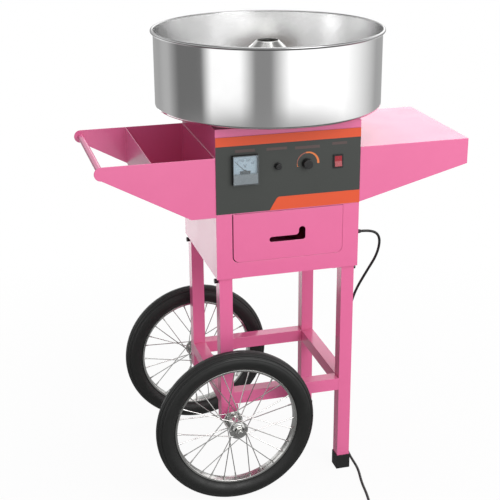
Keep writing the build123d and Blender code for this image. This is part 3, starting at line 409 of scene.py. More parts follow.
def lathe(
    profile: Sequence[Point], steps: int, axis: Vector = Z_AXIS, centre: Vector = ORIGIN, closed: bool = True
) -> Mesh:
    """Spins a profile round an axis.

    Args:
        profile: Points (radius, height along the axis).
        steps: How many segments go round.
        axis: The axis's direction, Y or Z.
        centre: A point on the axis at height 0.
        closed: Whether the last point joins the first.

    Returns:
        The surface as a bmesh.
    """
    made = bmesh.new()
    ring = [made.verts.new(centre + X_AXIS * r + axis * h) for r, h in profile]
    pairs = list(zip(ring, ring[1:])) + ([(ring[-1], ring[0])] if closed else [])
    edges = [made.edges.new(pair) for pair in pairs]
    bmesh.ops.spin(made, geom=ring + edges, cent=centre, axis=axis, angle=2 * pi, steps=steps, use_merge=True)
    return made


def rod(made: Mesh, start: Vector, end: Vector, radius: float, end_radius: float, sides: int) -> None:
    """Adds a round rod or cone between two points.

    Args:
        made: The bmesh.
        start: Its first end.
        end: Its other end.
        radius: Radius at the start.
        end_radius: Radius at the end.
        sides: How many sides it has.
    """
    run = end - start
    turn = run.to_track_quat("Z", "Y").to_matrix().to_4x4()
    bmesh.ops.create_cone(
        made, cap_ends=True, segments=sides, radius1=radius, radius2=end_radius, depth=run.length,
        matrix=Matrix.Translation((start + end) / 2) @ turn,
    )


def round_off(made: Mesh, edges: list, radius: float, segments: int) -> None:
    """Rounds edges.

    Args:
        made: The bmesh.
        edges: The edges.
        radius: Their radius.
        segments: How many faces go round each.
    """
    bmesh.ops.bevel(
        made, geom=edges, offset=radius, segments=segments, profile=0.5, affect="EDGES", material=-1,
        clamp_overlap=True,
    )


def block(made: Mesh, centre: Place, size: Place, edge: float = 0.0) -> list:
    """Adds a box with rounded edges.

    Args:
        made: The bmesh.
        centre: Its middle.
        size: Its three sizes.
        edge: Radius of its edges.

    Returns:
        The box's vertices before its edges were rounded.
    """
    place = Matrix.Translation(centre) @ Matrix.Diagonal((*size, 1))
    verts = bmesh.ops.create_cube(made, size=1.0, matrix=place)["verts"]
    if edge:
        round_off(made, list({e for v in verts for e in v.link_edges}), edge, 3)
    return verts


def tick(made: Mesh, centre: Vector, angle: float, reach: float, size: Place) -> None:
    """Adds a small mark that points away from a centre in the XZ plane.

    Args:
        made: The bmesh.
        centre: The centre.
        angle: The mark's angle from X towards Z, radians.
        reach: How far its middle is from the centre.
        size: Its length, thickness and width.
    """
    place = Matrix.Translation(centre + outwards(angle) * reach) @ Matrix.Rotation(-angle, 4, "Y")
    bmesh.ops.transform(made, matrix=place, verts=block(made, ORIGIN, size))


def softened(node: str, material: Look, edge: float, body: Body = Body.CART) -> None:
    """Copies a CAD node and breaks its sharp edges, as folding and coating do.

    Args:
        node: The CAD node.
        material: The finish.
        edge: Radius of the broken edges, mm.
        body: The body that it rides on.
    """
    made = bmesh.new()
    made.from_mesh(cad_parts[node].data)
    bmesh.ops.scale(made, vec=(1 / MM,) * 3, verts=made.verts)
    bmesh.ops.remove_doubles(made, verts=made.verts, dist=1e-3)
    bmesh.ops.dissolve_limit(
        made, angle_limit=radians(0.5), verts=made.verts, edges=made.edges, use_dissolve_boundaries=False
    )
    sharp = [e for e in made.edges if len(e.link_faces) == 2 and e.calc_face_angle(0) > FOLD_ANGLE]
    round_off(made, sharp, edge, 2)
    piece = finish_mesh(made, node + "_coated", material, body, recalc=False, smooth=FLAT_ANGLE)
    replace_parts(piece, node)


def dress(material: Look, *nodes: str) -> None:
    """Gives CAD nodes their finish.

    Args:
        material: The finish.
        *nodes: The nodes' names.
    """
    for node in nodes:
        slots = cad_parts[node].data.materials
        slots.clear()
        slots.append(material)


# ---- the cart


@dataclass
class Part:
    """A part of the machine.

    Attributes:
        looks: The finishes.
    """

    looks: Finishes

    def build(self) -> None:
        """Builds and dresses the part's pieces."""
        raise NotImplementedError


@dataclass
class SheetBodies(Part):
    """The powder-coated sheets and tubes: cabinet, drawer front, housing, tray, shelf, legs and stretchers."""

    sheet_edge: float = 0.5
    foot_edge: float = 0.6

    def build(self) -> None:
        """Builds and dresses the coated pieces."""
        ends = ("front_left", "front_right", "rear_left", "rear_right")
        tubes = [f"leg_{end}" for end in ends] + [f"stretcher_{side}" for side in ("front", "rear", "left", "right")]
        sheets = ["cabinet_shell", "machine_housing", "left_tray", "right_shelf"]
        for node in sheets + ["drawer_front"] + tubes + ["axle_brackets"]:
            body = Body.DRAWER if node == "drawer_front" else Body.CART
            softened(node, self.looks.pink, self.sheet_edge, body)
        for node in ("foot_front", "foot_rear"):
            softened(node, self.looks.foot, self.foot_edge)
        dress(self.looks.pink, "push_bar", "drawer_box")
        dress(self.looks.sheet, "drawer_rails")
        dress(self.looks.black, "leg_bolts")
        LOG.info("sheet bodies: %d tubes and %d sheets", len(tubes), len(sheets))


@dataclass
class Wheel(Part):
    """One spoked wheel.

    Attributes:
        side: -1 for the front wheel, 1 for the rear one.
    """

    side: int
    axle: Point = (-136.0, 185.0)
    track_half: float = 203.5
    outer: float = 185.0
    tyre_width: float = 40.0
    tyre_depth: float = 44.0
    rim_half: float = 11.0
    rim_wall: float = 1.5
    rim_tip: float = 143.2
    rim_bed: float = 139.5
    rim_inner: float = 138.0
    hub_flange: float = 22.0
    hub_barrel: float = 14.0
    hub_half: float = 31.0
    flange_half: float = 24.0
    bore: float = 6.2
    spoke_count: int = 14
    spoke_radius: float = 1.1
    spoke_circle: float = 18.5
    stagger: float = 1.6
    rim_stagger: float = 1.3
    rim_offset: float = 4.0
    nipple_length: float = 11.0
    nipple_radius: float = 2.1
    tread_grooves: tuple[float, ...] = (38.0, 60.0, 76.0, 104.0, 120.0, 142.0)
    groove_depth: float = 1.5
    groove_half: float = 2.5
    flank_lines: tuple[int, int] = (24, 156)
    line_height: float = 0.5
    steps: int = 160
    hub_steps: int = 64
    head_radius: float = 2.0
    sunk: float = 1.2
    spoke_sides: int = 10

    @property
    def name(self) -> str:
        """The wheel's name."""
        return "front" if self.side < 0 else "rear"

    @property
    def body(self) -> Body:
        """The wheel's body."""
        return Body(f"wheel_{self.name}")

    @property
    def centre(self) -> Vector:
        """The hub's middle."""
        return Vector((self.axle[0], self.side * self.track_half, self.axle[1]))

    @property
    def tyre_profile(self) -> list[Point]:
        """The tyre's section (radius, offset): an oval with a grooved crown and a moulded line on its flank."""
        middle = self.outer - self.tyre_depth / 2
        points = []
        for turn in range(0, 360, 4):
            grooved = any(abs(turn - groove) < self.groove_half for groove in self.tread_grooves)
            depth = self.groove_depth if grooved else -self.line_height if turn in self.flank_lines else 0.0
            angle = radians(turn)
            out = sin(angle) * (self.tyre_depth / 2 - depth)
            along = cos(angle) * (self.tyre_width / 2 - depth)
            points.append((middle + out, along))
        return points

    @property
    def rim_profile(self) -> list[Point]:
        """The rim's section (radius, offset): a channel with rolled lips."""
        half, wall, lip = self.rim_half, self.rim_wall, self.rim_tip - self.rim_wall / 2
        inner, bend = self.rim_inner, self.rim_bed - self.rim_inner
        near = [(self.rim_bed, -half + wall)] + arc((lip, -half + wall / 2), wall / 2, 90, -90, 5)
        foot = arc((inner + bend, -half + bend), bend, 270, 180, 5)
        base = arc((inner + bend, half - bend), bend, 180, 90, 5)
        far = arc((lip, half - wall / 2), wall / 2, 90, -90, 5) + [(self.rim_bed, half - wall)]
        return near + foot + base + far

    @property
    def hub_profile(self) -> list[Point]:
        """The hub's section (radius, offset)."""
        f, h, tip, barrel = self.flange_half, self.hub_half, self.hub_flange, self.hub_barrel
        half = [
            (self.bore, h), (13.0, h), (15.0, h - 2), (15.0, f + 3.5), (19.0, f + 1.5), (tip - 0.6, f + 1.5),
            (tip, f + 0.9), (tip, f - 0.9), (tip - 0.6, f - 1.5), (17.0, f - 1.5), (barrel, f - 6),
        ]
        return [(r, -y) for r, y in half] + [(barrel - 1.0, 0)] + half[::-1]

    def spokes(self) -> Mesh:
        """Makes the spokes with their nipples and heads.

        Returns:
            The spokes as a bmesh.
        """
        made = bmesh.new()
        sector = 4 * pi / self.spoke_count
        for end, lean, number in product((-1, 1), (-1, 1), range(self.spoke_count // 2)):
            shift = 0 if lean > 0 else sector / 2
            hub_angle = number * sector + shift + (sector / 4 if end > 0 else 0)
            rim_angle = hub_angle + lean * sector
            hub_y = end * self.flange_half + lean * self.stagger
            rim_y = end * self.rim_offset + lean * self.rim_stagger
            hub_end = self.centre + outwards(hub_angle) * self.spoke_circle + Y_AXIS * hub_y
            rim_end = self.centre + outwards(rim_angle) * (self.rim_inner + self.sunk) + Y_AXIS * rim_y
            neck = rim_end - (rim_end - hub_end).normalized() * self.nipple_length
            rod(made, hub_end, rim_end, self.spoke_radius, self.spoke_radius, self.spoke_sides)
            rod(made, neck, rim_end, self.nipple_radius * 0.75, self.nipple_radius, self.spoke_sides)
            head = Matrix.Translation(hub_end)
            bmesh.ops.create_uvsphere(made, u_segments=10, v_segments=6, radius=self.head_radius, matrix=head)
        return made

    def build(self) -> None:
        """Builds the wheel's pieces."""
        turned = (
            ("tyre", "tread", self.tyre_profile, self.steps, self.looks.tyre, Slot.TYRE),
            ("rim", "rolled", self.rim_profile, self.steps, self.looks.plated, Slot.PLATED),
            ("hub", "turned", self.hub_profile, self.hub_steps, self.looks.plated, Slot.PLATED),
        )
        for part, form, profile, steps, look, slot in turned:
            made = lathe(profile, steps, Y_AXIS, self.centre)
            piece = finish_mesh(made, f"{part}_{self.name}_{form}", look, self.body)
            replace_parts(piece, f"{part}_{self.name}")
        spokes = finish_mesh(self.spokes(), f"spokes_{self.name}_laced", self.looks.plated, self.body)
        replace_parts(spokes, f"spokes_{self.name}")
        dress(self.looks.plated, f"bearings_{self.name}")
        LOG.info("%s wheel: %d spokes", self.name, 2 * self.spoke_count)


# ---- bowl and spinner head


@dataclass
class Bowl(Part):
    """The spun bowl with its rolled rim, one smooth skin over the floor and the wall."""

    bottom: float = 880.0
    height: float = 170.0
    outer: float = 260.0
    bead: float = 3.5
    sheet: float = 1.0
    corner: float = 6.0
    hole: float = 85.0
    collar: float = 18.0
    collar_bend: float = 2.5
    steps: int = 224

    @property
    def profile(self) -> list[Point]:
        """The bowl's closed section (radius, height), from the collar's top outwards and round the rim."""
        t, low, top, bend = self.sheet, self.bottom, self.bottom + self.height, self.collar_bend
        wall = self.outer - 2 * self.bead + t
        bead_centre = (self.outer - self.bead, top - self.bead)
        meets = -degrees(acos((wall - bead_centre[0]) / self.bead))
        outside = [(self.hole, low + self.collar)]
        outside += arc((self.hole + bend, low + bend), bend, 180, 270, 5)
        outside += arc((wall - self.corner, low + self.corner), self.corner, -90, 0, 10)
        rim = arc(bead_centre, self.bead, meets, 180, 24)
        inside = arc((wall - self.corner, low + self.corner), self.corner - t, 0, -90, 8)
        inside += arc((self.hole + bend, low + bend), bend - t, 270, 180, 5)
        inside += [(self.hole + t, low + self.collar)]
        return outside + rim + inside

    def build(self) -> None:
        """Builds the bowl."""
        made = lathe(self.profile, self.steps)
        piece = finish_mesh(made, "bowl_spun", self.looks.bowl, Body.BOWL)
        for look in (self.looks.bowl_inside, self.looks.rim):
            piece.data.materials.append(look)
        # Faces above the rim's start take the rim finish, whose darker tone is painted shade.
        rim_starts = (self.bottom + self.height - 2 * self.bead) * MM
        for polygon in piece.data.polygons:
            place, normal = polygon.center, polygon.normal
            inwards = place.xy.dot(normal.xy) < 0 or normal.z > 0.2
            polygon.material_index = 2 if place.z > rim_starts else int(inwards)
        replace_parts(piece, "bowl_wall", "bowl_floor")
        dress(self.looks.black, "bowl_pads")
        LOG.info("bowl: %g mm across", 2 * self.outer)


@dataclass
class SpinnerHead(Part):
    """The spinning head: base, heater band, cone and drive shaft."""

    base: float = 938.0
    radius: float = 70.0
    base_thickness: float = 4.0
    boss_radius: float = 14.0
    boss_drop: float = 13.0
    boss_rise: float = 10.0
    bore: float = 8.05
    heater_height: float = 33.0
    cap_height: float = 46.0
    top_radius: float = 27.0
    wall: float = 1.5
    lip: float = 3.0
    steps: int = 128

    @property
    def cap_profile(self) -> list[Point]:
        """The cone's closed section (radius, height) with its rolled mouth and skirt."""
        low = self.base + self.base_thickness + self.heater_height
        top = low + self.cap_height
        r, t = self.radius, self.wall
        outer = arc((r - 3, low + 3), 3, -90, 25, 6)
        mouth = arc((self.top_radius - 2.5, top - 2.5), 2.5, 40, 90, 5) + [(self.top_radius - self.lip, top)]
        inner = [(self.top_radius - self.lip, top - 3), (self.top_radius - t, top - 3), (r - 6, low + t), (r - 6, low)]
        return outer + mouth + inner

    @property
    def base_profile(self) -> list[Point]:
        """The base's section (radius, height) with its hub, from the axis round to the axis."""
        low, top = self.base, self.base + self.base_thickness
        r, b = self.radius, self.boss_radius
        return [
            (0.0, top + self.boss_rise), (b - 1, top + self.boss_rise), (b, top + self.boss_rise - 1), (b, top + 1.5),
            (b + 1.5, top), (r - 1, top), (r, top - 1), (r, low + 1), (r - 1, low), (b + 2, low), (b, low - 2),
            (b, low - self.boss_drop + 1), (b - 1, low - self.boss_drop), (self.bore, low - self.boss_drop),
            (self.bore, low + self.boss_rise), (0.0, low + self.boss_rise),
        ]

    def build(self) -> None:
        """Builds the head and dresses the drive."""
        cap = lathe(self.cap_profile, self.steps)
        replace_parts(finish_mesh(cap, "head_cone", self.looks.turned, Body.SPINNER), "head_cap")
        base = lathe(self.base_profile, self.steps, closed=False)
        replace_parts(finish_mesh(base, "head_plate", self.looks.turned, Body.SPINNER), "head_base")
        drive = {
            "heater_ring": self.looks.heater, "drive_shaft": self.looks.turned, "slip_ring_disc": self.looks.brass,
            "motor": self.looks.enamel, "motor_plate": self.looks.sheet, "brush_holder": self.looks.black,
        }
        for node, look in drive.items():
            dress(look, node)
        LOG.info("spinner head: %g mm across", 2 * self.radius)


# ---- control panel


@dataclass
class ControlPanel(Part):
    """The control panel's overlay, its printing and its instruments."""

    face: float = -165.2
    print_height: float = 0.15
    knob: Point = (40.0, 779.6)
    scale_radius: float = 24.0
    scale_width: Point = (0.8, 5.0)
    scale_angles: Point = (196.0, -4.0)
    scale_steps: int = 48
    strong_from: float = 100.0
    meter: Point = (-99.7, 777.6)
    pivot_drop: float = 3.6
    dial_behind: float = 3.42
    dial_sweep: Point = (135.0, 45.0)
    dial_radius: float = 27.0
    figure_radius: float = 23.4
    rocker_tilt: float = 7.0
    rocker_half: float = 11.6
    mark_face: float = -5.05
    mark_height: float = 6.2
    switch: Point = (111.5, 778.5)
    fuse: Point = (-26.0, 778.6)

    def captions(self) -> None:
        """Prints the plain bars where captions would stand."""
        made = bmesh.new()
        bars = (
            (self.meter[0] + 1, 44, 818.0, 6.4),
            (self.fuse[0] - 2, 46, 817.5, 6.0),
            (self.knob[0] + 1, 56, 815.5, 6.4),
            (self.switch[0] + 3, 34, 819.0, 6.0),
        )
        for x, width, z, height in bars:
            block(made, (x, self.face - self.print_height / 2, z), (width, self.print_height, height))
        finish_mesh(made, "panel_caption_bars", self.looks.print)

    def scale(self) -> None:
        """Prints the crescent round the regulator, thin and weak at its start and broad and strong at its end."""
        first, last = (radians(a) for a in self.scale_angles)
        made = bmesh.new()
        centre = Vector((self.knob[0] + 2, self.face - self.print_height, self.knob[1]))
        pair = [made.verts.new(centre + outwards(first) * (self.scale_radius + side)) for side in (-0.5, 0.5)]
        edge = made.edges.new(pair)
        bmesh.ops.spin(
            made, geom=pair + [edge], cent=centre, axis=Y_AXIS, angle=first - last, steps=self.scale_steps,
            use_merge=False,
        )
        for vert in made.verts:
            arm = vert.co - centre
            turned = (first - atan2(arm.z, arm.x)) % (2 * pi)
            share = min(turned / (first - last), 1.0)
            width = self.scale_width[0] + (self.scale_width[1] - self.scale_width[0]) * share
            side = 1 if arm.length > self.scale_radius else -1
            vert.co = centre + arm.normalized() * (self.scale_radius + side * width / 2)
        solid = bmesh.ops.extrude_face_region(made, geom=list(made.faces))
        moved = [v for v in solid["geom"] if isinstance(v, bmesh.types.BMVert)]
        bmesh.ops.translate(made, verts=moved, vec=(0, self.print_height, 0))
        piece = finish_mesh(made, "regulator_scale", self.looks.scale_weak)
        piece.data.materials.append(self.looks.scale_strong)
        for polygon in piece.data.polygons:
            arm = polygon.center / MM - centre
            polygon.material_index = int(atan2(arm.z, arm.x) < radians(self.strong_from))

    def meter_marks(self) -> None:
        """Draws the dial's ticks and figures, and the bar under them."""
        pivot = Vector((self.meter[0], self.face - self.dial_behind, self.meter[1] - self.pivot_drop))
        first, last = (radians(a) for a in self.dial_sweep)
        made = bmesh.new()
        block(made, pivot + Vector((0, -1.6, -2.2)), (23.0, 1.0, 6.4), 0.4)
        for number in range(13):
            length, width = (4.5, 0.6) if number % 3 == 0 else (2.5, 0.35)
            angle = first + (last - first) * number / 12
            tick(made, pivot, angle, self.dial_radius + length / 2, (length, 0.1, width))
        for step in range(30):
            tick(made, pivot, first + (last - first) * (step + 0.5) / 30, self.dial_radius, (0.4, 0.1, 1.5))
        finish_mesh(made, "dial_ticks", self.looks.black)
        for number in range(4):
            place = pivot + outwards(first + (last - first) * number / 3) * self.figure_radius
            self._figure(str(number * 100), place, 3.6)
        self._figure("V", pivot + Vector((0, 0, 11)), 8.5)

    def _figure(self, text: str, place: Vector, height: float) -> None:
        """Prints one figure on the dial.

        Args:
            text: The figure.
            place: Its middle, mm.
            height: Its height, mm.
        """
        curve = bpy.data.curves.new(f"dial_figure_{text}", "FONT")
        curve.body, curve.size, curve.extrude = text, height * 1.4, 0.05
        curve.align_x, curve.align_y = "CENTER", "CENTER"
        drawn = link(curve.name, curve)
        mesh = bpy.data.meshes.new_from_object(drawn.evaluated_get(bpy.context.evaluated_depsgraph_get()))
        bpy.data.objects.remove(drawn)
        made = bmesh.new()
        made.from_mesh(mesh)
        bpy.data.meshes.remove(mesh)
        upright = Matrix.Translation(place) @ Matrix.Rotation(radians(90), 4, "X")
        bmesh.ops.transform(made, matrix=upright, verts=made.verts)
        finish_mesh(made, f"dial_figure_{text}", self.looks.black)

    def rocker_mark(self) -> None:
        """Prints the marks for on and off on the rocker."""
        made = bmesh.new()
        block(made, (0, self.mark_face, self.mark_height), (0.5, 0.2, 2.4))
        for step in range(20):
            angle = 2 * pi * step / 20
            tick(made, Vector((0, self.mark_face, -self.mark_height)), angle, 1.5, (0.5, 0.2, 0.6))
        for vert in made.verts:
            vert.co.y += abs(vert.co.z) / self.rocker_half * -1.5 + 1.05
        pivot = Matrix.Translation((self.switch[0], self.face + 1.5, self.switch[1]))
        tilt = Matrix.Rotation(-radians(self.rocker_tilt), 4, "X")
        bmesh.ops.transform(made, matrix=pivot @ tilt, verts=made.verts)
        finish_mesh(made, "rocker_marks", self.looks.pale, Body.ROCKER)

    def build(self) -> None:
        """Builds and dresses the panel."""
        dress(self.looks.panel, "control_panel")
        dress(self.looks.film, "panel_stripes")
        dress(self.looks.black, "voltmeter_case", "voltmeter_needle", "fuse_holder", "fuse_cap", "regulator_knob")
        dress(self.looks.black, "switch_body")
        dress(self.looks.card, "voltmeter_dial")
        dress(self.looks.frosted, "voltmeter_cover")
        dress(self.looks.clear, "voltmeter_window")
        dress(self.looks.red, "switch_rocker")
        dress(self.looks.brass, "regulator_body")
        self.captions()
        self.scale()
        self.meter_marks()
        self.rocker_mark()
        LOG.info("control panel: dressed")


# ---- axle and cord


@dataclass
class AxleSet(Part):
    """The axle and its nuts."""

    def build(self) -> None:
        """Dresses the axle."""
        dress(self.looks.plated, "axle", "axle_nuts")
        LOG.info("axle: dressed")


@dataclass
class PowerCord(Part):
    """The power cord from the gland to the plug, with its stored length coiled on the floor."""

    radius: float = 3.1
    length: float = 1.80
    start: Place = (190.0, -110.0, 590.0)
    coil_centre: Point = (100.0, -415.0)
    coil_radius: float = 42.0
    pitch: float = 6.7
    turns: float = 3.5
    turns_in: float = 1.5
    climb: float = 0.5
    exit_length: float = 13.0
    relief: float = 27.0
    plug_size: Place = (34.0, 30.0, 19.6)
    pin_radius: float = 2.4
    pin_length: float = 19.0
    pin_spacing: float = 19.0
    plug_ribs: int = 6
    sides: int = 20
    points_a_turn: int = 16
    gland_face: float = 164.0
    gland_bore: float = 3.15
    route: tuple[Place, ...] = (
        (190, -110, 590), (221, -110, 590), (242, -106, 568), (240, -94, 522), (222, -75, 474), (200, -56, 416),
        (189, -44, 352), (183, -41, 286), (185, -39, 220), (182, -42, 158), (185, -40, 100), (182, -44, 48),
        (182, -72, 3.1), (177, -122, 3.1), (176, -178, 3.1), (162, -236, 3.1), (155, -294, 3.1), (142, -352, 3.1),
        (142, -408.8, 3.1),
    )

    def coil_point(self, turn: float) -> Vector:
        """Gives a point of the coil.

        Args:
            turn: How many turns along.

        Returns:
            The point, mm.
        """
        climbed = min(max((turn - self.turns_in) / self.climb, 0.0), 1.0)
        radius = self.coil_radius - self.pitch * min(turn, self.turns - turn)
        height = self.radius + self.pitch * climbed**2 * (3 - 2 * climbed)
        angle = -2 * pi * turn
        return Vector(
            (self.coil_centre[0] + radius * cos(angle), self.coil_centre[1] + radius * sin(angle), height)
        )

    @property
    def line(self) -> list[Vector]:
        """The spline's points, mm: the route, the coil and its straight end."""
        count = round(self.turns * self.points_a_turn)
        coil = [self.coil_point(i * self.turns / count) for i in range(count + 1)]
        return [Vector(p) for p in self.route] + coil + [coil[-1] + Vector((0, self.exit_length, 0))]

    def curve(self) -> Piece:
        """Builds the cord.

        Returns:
            The cord as a bevelled spline.
        """
        points = self.line
        data = bpy.data.curves.new("power_cord", "CURVE")
        data.dimensions, data.bevel_depth, data.bevel_resolution = "3D", self.radius * MM, 4
        data.use_fill_caps, data.resolution_u = True, 8
        spline = data.splines.new("NURBS")
        spline.points.add(len(points) - 1)
        for point, place in zip(spline.points, points):
            point.co = (*(place * MM), 1.0)
        spline.order_u = 3
        spline.use_endpoint_u = True
        data.materials.append(self.looks.cable)
        cord = link("power_cord", data)
        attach(cord, Body.CART.value)
        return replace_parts(cord, "cord_run", "cord_coil")

    def gland(self) -> None:
        """Builds the strain relief: a ribbed sleeve on a round nut."""
        bore = self.gland_bore
        profile = [(bore, -6.0), (6.2, -6.0), (6.2, 0.0), (8.6, 0.0), (9.0, 1.0), (9.0, 5.0), (8.2, 6.0), (6.5, 6.0)]
        for rib in range(5):
            along, radius = 7.0 + rib * 3.6, 6.4 - rib * 0.42
            low = radius - 0.9
            profile += [(radius, along), (radius, along + 1.8), (low, along + 2.1), (low, along + 3.2)]
        profile += [(4.2, 26.0), (bore, 26.0)]
        made = lathe(profile, 32)
        turn = Matrix.Translation((self.gland_face, *self.start[1:])) @ Matrix.Rotation(radians(90), 4, "Y")
        bmesh.ops.transform(made, matrix=turn, verts=made.verts)
        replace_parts(finish_mesh(made, "strain_relief", self.looks.black), "cord_gland")

    def plug(self) -> Piece:
        """Builds the plug: a moulded body with finger grooves, a tapered tail and two pins.

        Returns:
            The plug.
        """
        tail = self.line[-1]
        made = bmesh.new()
        rib_pitch = self.relief / self.plug_ribs
        for rib in range(self.plug_ribs):
            low, radius = tail + Y_AXIS * rib * rib_pitch, 4.2 + rib * 0.26
            rod(made, low, low + Y_AXIS * 3.0, radius, radius + 0.2, self.sides)
        rod(made, tail, tail + Y_AXIS * self.relief, 3.7, 4.9, self.sides)
        _, depth, height = self.plug_size
        body_start = tail.y + self.relief
        block(made, (tail.x, body_start + depth / 2, height / 2), self.plug_size, 4.5)
        for side in (-1, 1):
            pin = Vector((tail.x + side * self.pin_spacing / 2, body_start + depth - 1, tail.z))
            tip = pin + Y_AXIS * self.pin_length
            rod(made, pin, tip, self.pin_radius, self.pin_radius, self.sides)
            rod(made, tip, tip + Y_AXIS, self.pin_radius, self.pin_radius * 0.6, self.sides)
        piece = finish_mesh(made, "plug_moulded", self.looks.cable)
        piece.data.materials.append(self.looks.plated)
        for polygon in piece.data.polygons:
            if polygon.center.y / MM > body_start + depth + 0.05:
                polygon.material_index = 1
        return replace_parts(piece, "plug")

    def build(self) -> None:
        cord = self.curve()
        plug = self.plug()
        self.gland()
        LOG.info("power cord: %g m", self.length)


# ---- studio


@dataclass(frozen=True)
class Card:
    """One softbox, where it is bright, or flag, where it is dark, as reflections see it.

    Attributes:
        start: The azimuth where it starts, degrees.
        end: The azimuth where it ends, degrees.
        level: Its brightness, where 1 is white.
    """

    start: float
    end: float
    level: float


@dataclass
class Studio:
    """The camera, the lamps, the floor and the world."""

    camera_place: Place = (-698.06, -2390.95, 1446.73)
    yaw: float = 15.30
    pitch: float = 20.32
    roll: float = -0.40
    lens: float = 80.62
    floor_radius: float = 1.6
    brightest: float = 3.0
    ambient: Point = (0.12, 0.88)
    light_side: Place = (0.5, -0.75, 0.43)
    low_below: Point = (-0.275, -0.315)
    sky_above: Point = (0.03, 0.16)
    top_above: Point = (0.42, 0.6)
    floor_drop: float = 0.0005
    level_cards: tuple[Card, ...] = (
        Card(-180, -175, 0.18), Card(-163, -133, 1.25), Card(-118, -103, 0.28), Card(-84, -26, 1.35),
        Card(30, 115, 0.42), Card(127, 136, 0.5), Card(154, 180, 0.18),
    )
    low_cards: tuple[Card, ...] = (Card(-180, -110, 0.3), Card(-30, 20, 0.5), Card(70, 118, 1.9), Card(150, 180, 0.3))
    sky_cards: tuple[Card, ...] = (
        Card(-180, -175, 1.5), Card(-160, -75, 0.85), Card(-45, 30, 1.6), Card(52, 74, 2.1), Card(81, 98, 0.8),
        Card(115, 180, 1.5),
    )
    top_cards: tuple[Card, ...] = (
        Card(-180, -165, 0.5), Card(-120, -80, 0.75), Card(-45, 140, 0.33), Card(170, 180, 0.5),
    )

    def camera(self) -> None:
        """Puts the camera where the photograph was taken from."""
        data = bpy.data.cameras.new("camera")
        data.lens, data.sensor_width = self.lens, 36.0
        data.clip_start, data.clip_end = 0.1, 60.0
        yaw, pitch, roll = (radians(a) for a in (self.yaw, self.pitch, self.roll))
        aim = Matrix.Rotation(-yaw, 4, "Z") @ Matrix.Rotation(pi / 2 - pitch, 4, "X")
        camera = link("camera", data)
        camera.matrix_world = Matrix.Translation(Vector(self.camera_place) * MM) @ aim @ Matrix.Rotation(roll, 4, "Z")
        bpy.context.scene.camera = camera

    def lamp(self, name: str, place: Place, target: Place, size: float, power: float) -> None:
        """Adds a soft square lamp.

        Args:
            name: The lamp's name.
            place: Where it stands, m.
            target: Where it points, m.
            size: Its side, m.
            power: Its power, W.
        """
        data = bpy.data.lights.new(name, "AREA")
        data.size, data.energy = size, power
        lamp = link(name, data)
        lamp.location = place
        lamp.rotation_euler = (Vector(target) - Vector(place)).to_track_quat("-Z", "Y").to_euler()
        lamp.visible_camera = False

    def floor(self) -> None:
        """Lays a plain white floor that keeps the object's shadow and, in reflections, a painted shadow under it."""
        material = empty_material("studio_floor_white")
        tree = material.node_tree
        place = add_node(tree, "TexCoord").outputs["Object"]
        reach = add_node(tree, "VectorMath", {0: place}, operation="LENGTH").outputs["Value"]
        depth = add_node(tree, "SeparateXYZ", {"Vector": place}).outputs["Y"]
        fade = map_range(tree, reach, (0.6, self.floor_radius * 0.95), (0.94, 1.0))
        # Painted light in reflections: the glow rises towards the back and is a painted shadow near the object.
        back = map_range(tree, depth, (0.1, 0.7), (0.0, 1.7))
        painted_reflection_glow = map_range(tree, reach, (0.5, 1.4), (0.3, back))
        path = add_node(tree, "LightPath")
        glossy = path.outputs["Is Glossy Ray"]
        share = add_node(
            tree, "Math", {0: seen_directly(tree, path), 1: fade, 2: glossy}, operation="MULTIPLY_ADD", use_clamp=True
        ).outputs[0]
        matt = add_node(tree, "BsdfDiffuse", {"Color": (0.8, 0.8, 0.8, 1.0)}).outputs[0]
        glow = add_node(tree, "Emission", {"Color": WHITE, "Strength": blend(tree, glossy, 1.0, painted_reflection_glow)}).outputs[0]
        mix = add_node(tree, "MixShader", {0: share, 1: matt, 2: glow})
        add_node(tree, "OutputMaterial", {"Surface": mix.outputs[0]})
        made = bmesh.new()
        bmesh.ops.create_circle(made, cap_ends=True, radius=self.floor_radius, segments=96)
        mesh = bpy.data.meshes.new("studio_floor")
        made.to_mesh(mesh)
        made.free()
        mesh.materials.append(material)
        floor = link("studio_floor", mesh)
        floor.location.z = -self.floor_drop

    def ring(self, tree: Tree, turn: Socket, cards: Sequence[Card]) -> Socket:
        """Hangs a ring of cards round the horizon, with soft steps between them.

        Args:
            tree: The world's node tree.
            turn: The direction's azimuth, 0 to 1 from -180 to 180 degrees.
            cards: The cards in order, the first from -180 and the last to 180 degrees.

        Returns:
            The brightness.
        """
        ramp = add_node(tree, "ValToRGB", {"Fac": turn})
        elements = ramp.color_ramp.elements
        stops = [(edge, card.level) for card in cards for edge in (card.start, card.end)]
        for place in stops[1:-1]:
            elements.new((place[0] + 180) / 360)
        for stop, (azimuth, level) in zip(elements, stops):
            stop.position = (azimuth + 180) / 360
            stop.color = (level / self.brightest,) * 3 + (1.0,)
        scaled = add_node(tree, "Math", {0: ramp.outputs["Color"], 1: self.brightest}, operation="MULTIPLY")
        return scaled.outputs[0]

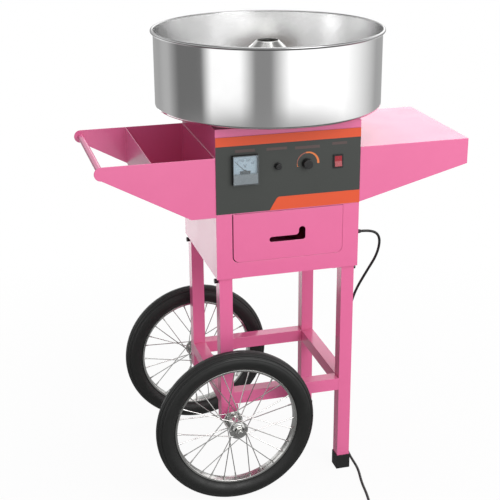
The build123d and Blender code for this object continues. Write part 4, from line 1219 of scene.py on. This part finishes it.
    def world(self) -> None:
        """Makes the white surroundings: reflections see softboxes and flags, and light comes from the right."""
        world = bpy.data.worlds.new("studio_world")
        bpy.context.scene.world = world
        world.use_nodes = True
        tree = world.node_tree
        tree.nodes.clear()
        way = add_node(tree, "TexCoord").outputs["Generated"]
        parts = add_node(tree, "SeparateXYZ", {"Vector": way}).outputs
        angle = add_node(tree, "Math", {0: parts["Y"], 1: parts["X"]}, operation="ARCTAN2").outputs[0]
        turn, height = map_range(tree, angle, (-pi, pi)), parts["Z"]
        rings = (self.level_cards, self.low_cards, self.sky_cards, self.top_cards)
        level, low, sky, top = (self.ring(tree, turn, cards) for cards in rings)
        lower = blend(tree, map_range(tree, height, self.low_below), level, low)
        upper = blend(tree, map_range(tree, height, self.top_above), sky, top)
        whole = blend(tree, map_range(tree, height, self.sky_above), lower, upper)
        facing = add_node(tree, "VectorMath", {0: way, 1: self.light_side}, operation="DOT_PRODUCT").outputs["Value"]
        ambient = map_range(tree, facing, (-0.6, 0.6), self.ambient)
        lit, mirror, white = (
            add_node(tree, "Background", {"Color": WHITE, "Strength": strength}).outputs[0]
            for strength in (ambient, whole, 1.0)
        )
        path = add_node(tree, "LightPath")
        glossy = add_node(tree, "MixShader", {0: path.outputs["Is Glossy Ray"], 1: lit, 2: mirror}).outputs[0]
        final = add_node(tree, "MixShader", {0: seen_directly(tree, path), 1: glossy, 2: white})
        add_node(tree, "OutputWorld", {"Surface": final.outputs[0]})

    def build(self) -> None:
        """Builds the studio."""
        self.camera()
        self.world()
        self.floor()
        self.lamp("key_softbox", (1.3, -3.2, 2.4), (0, 0, 0.6), 2.2, 68)
        self.lamp("top_softbox", (0.3, 0.6, 3.2), (0, 0, 0.8), 1.8, 25)
        bpy.context.scene.view_settings.view_transform = "Standard"
        LOG.info("studio: built")


def main() -> None:
    """Builds the studio and then the machine, piece by piece."""
    logging.basicConfig(level=logging.INFO, format="%(message)s")
    looks = Finishes()
    Studio().build()
    machine = (
        PowerCord(looks), SheetBodies(looks), Wheel(looks, -1), Wheel(looks, 1), AxleSet(looks), Bowl(looks),
        SpinnerHead(looks), ControlPanel(looks),
    )
    for part in machine:
        part.build()


if __name__ == "__main__":
    main()
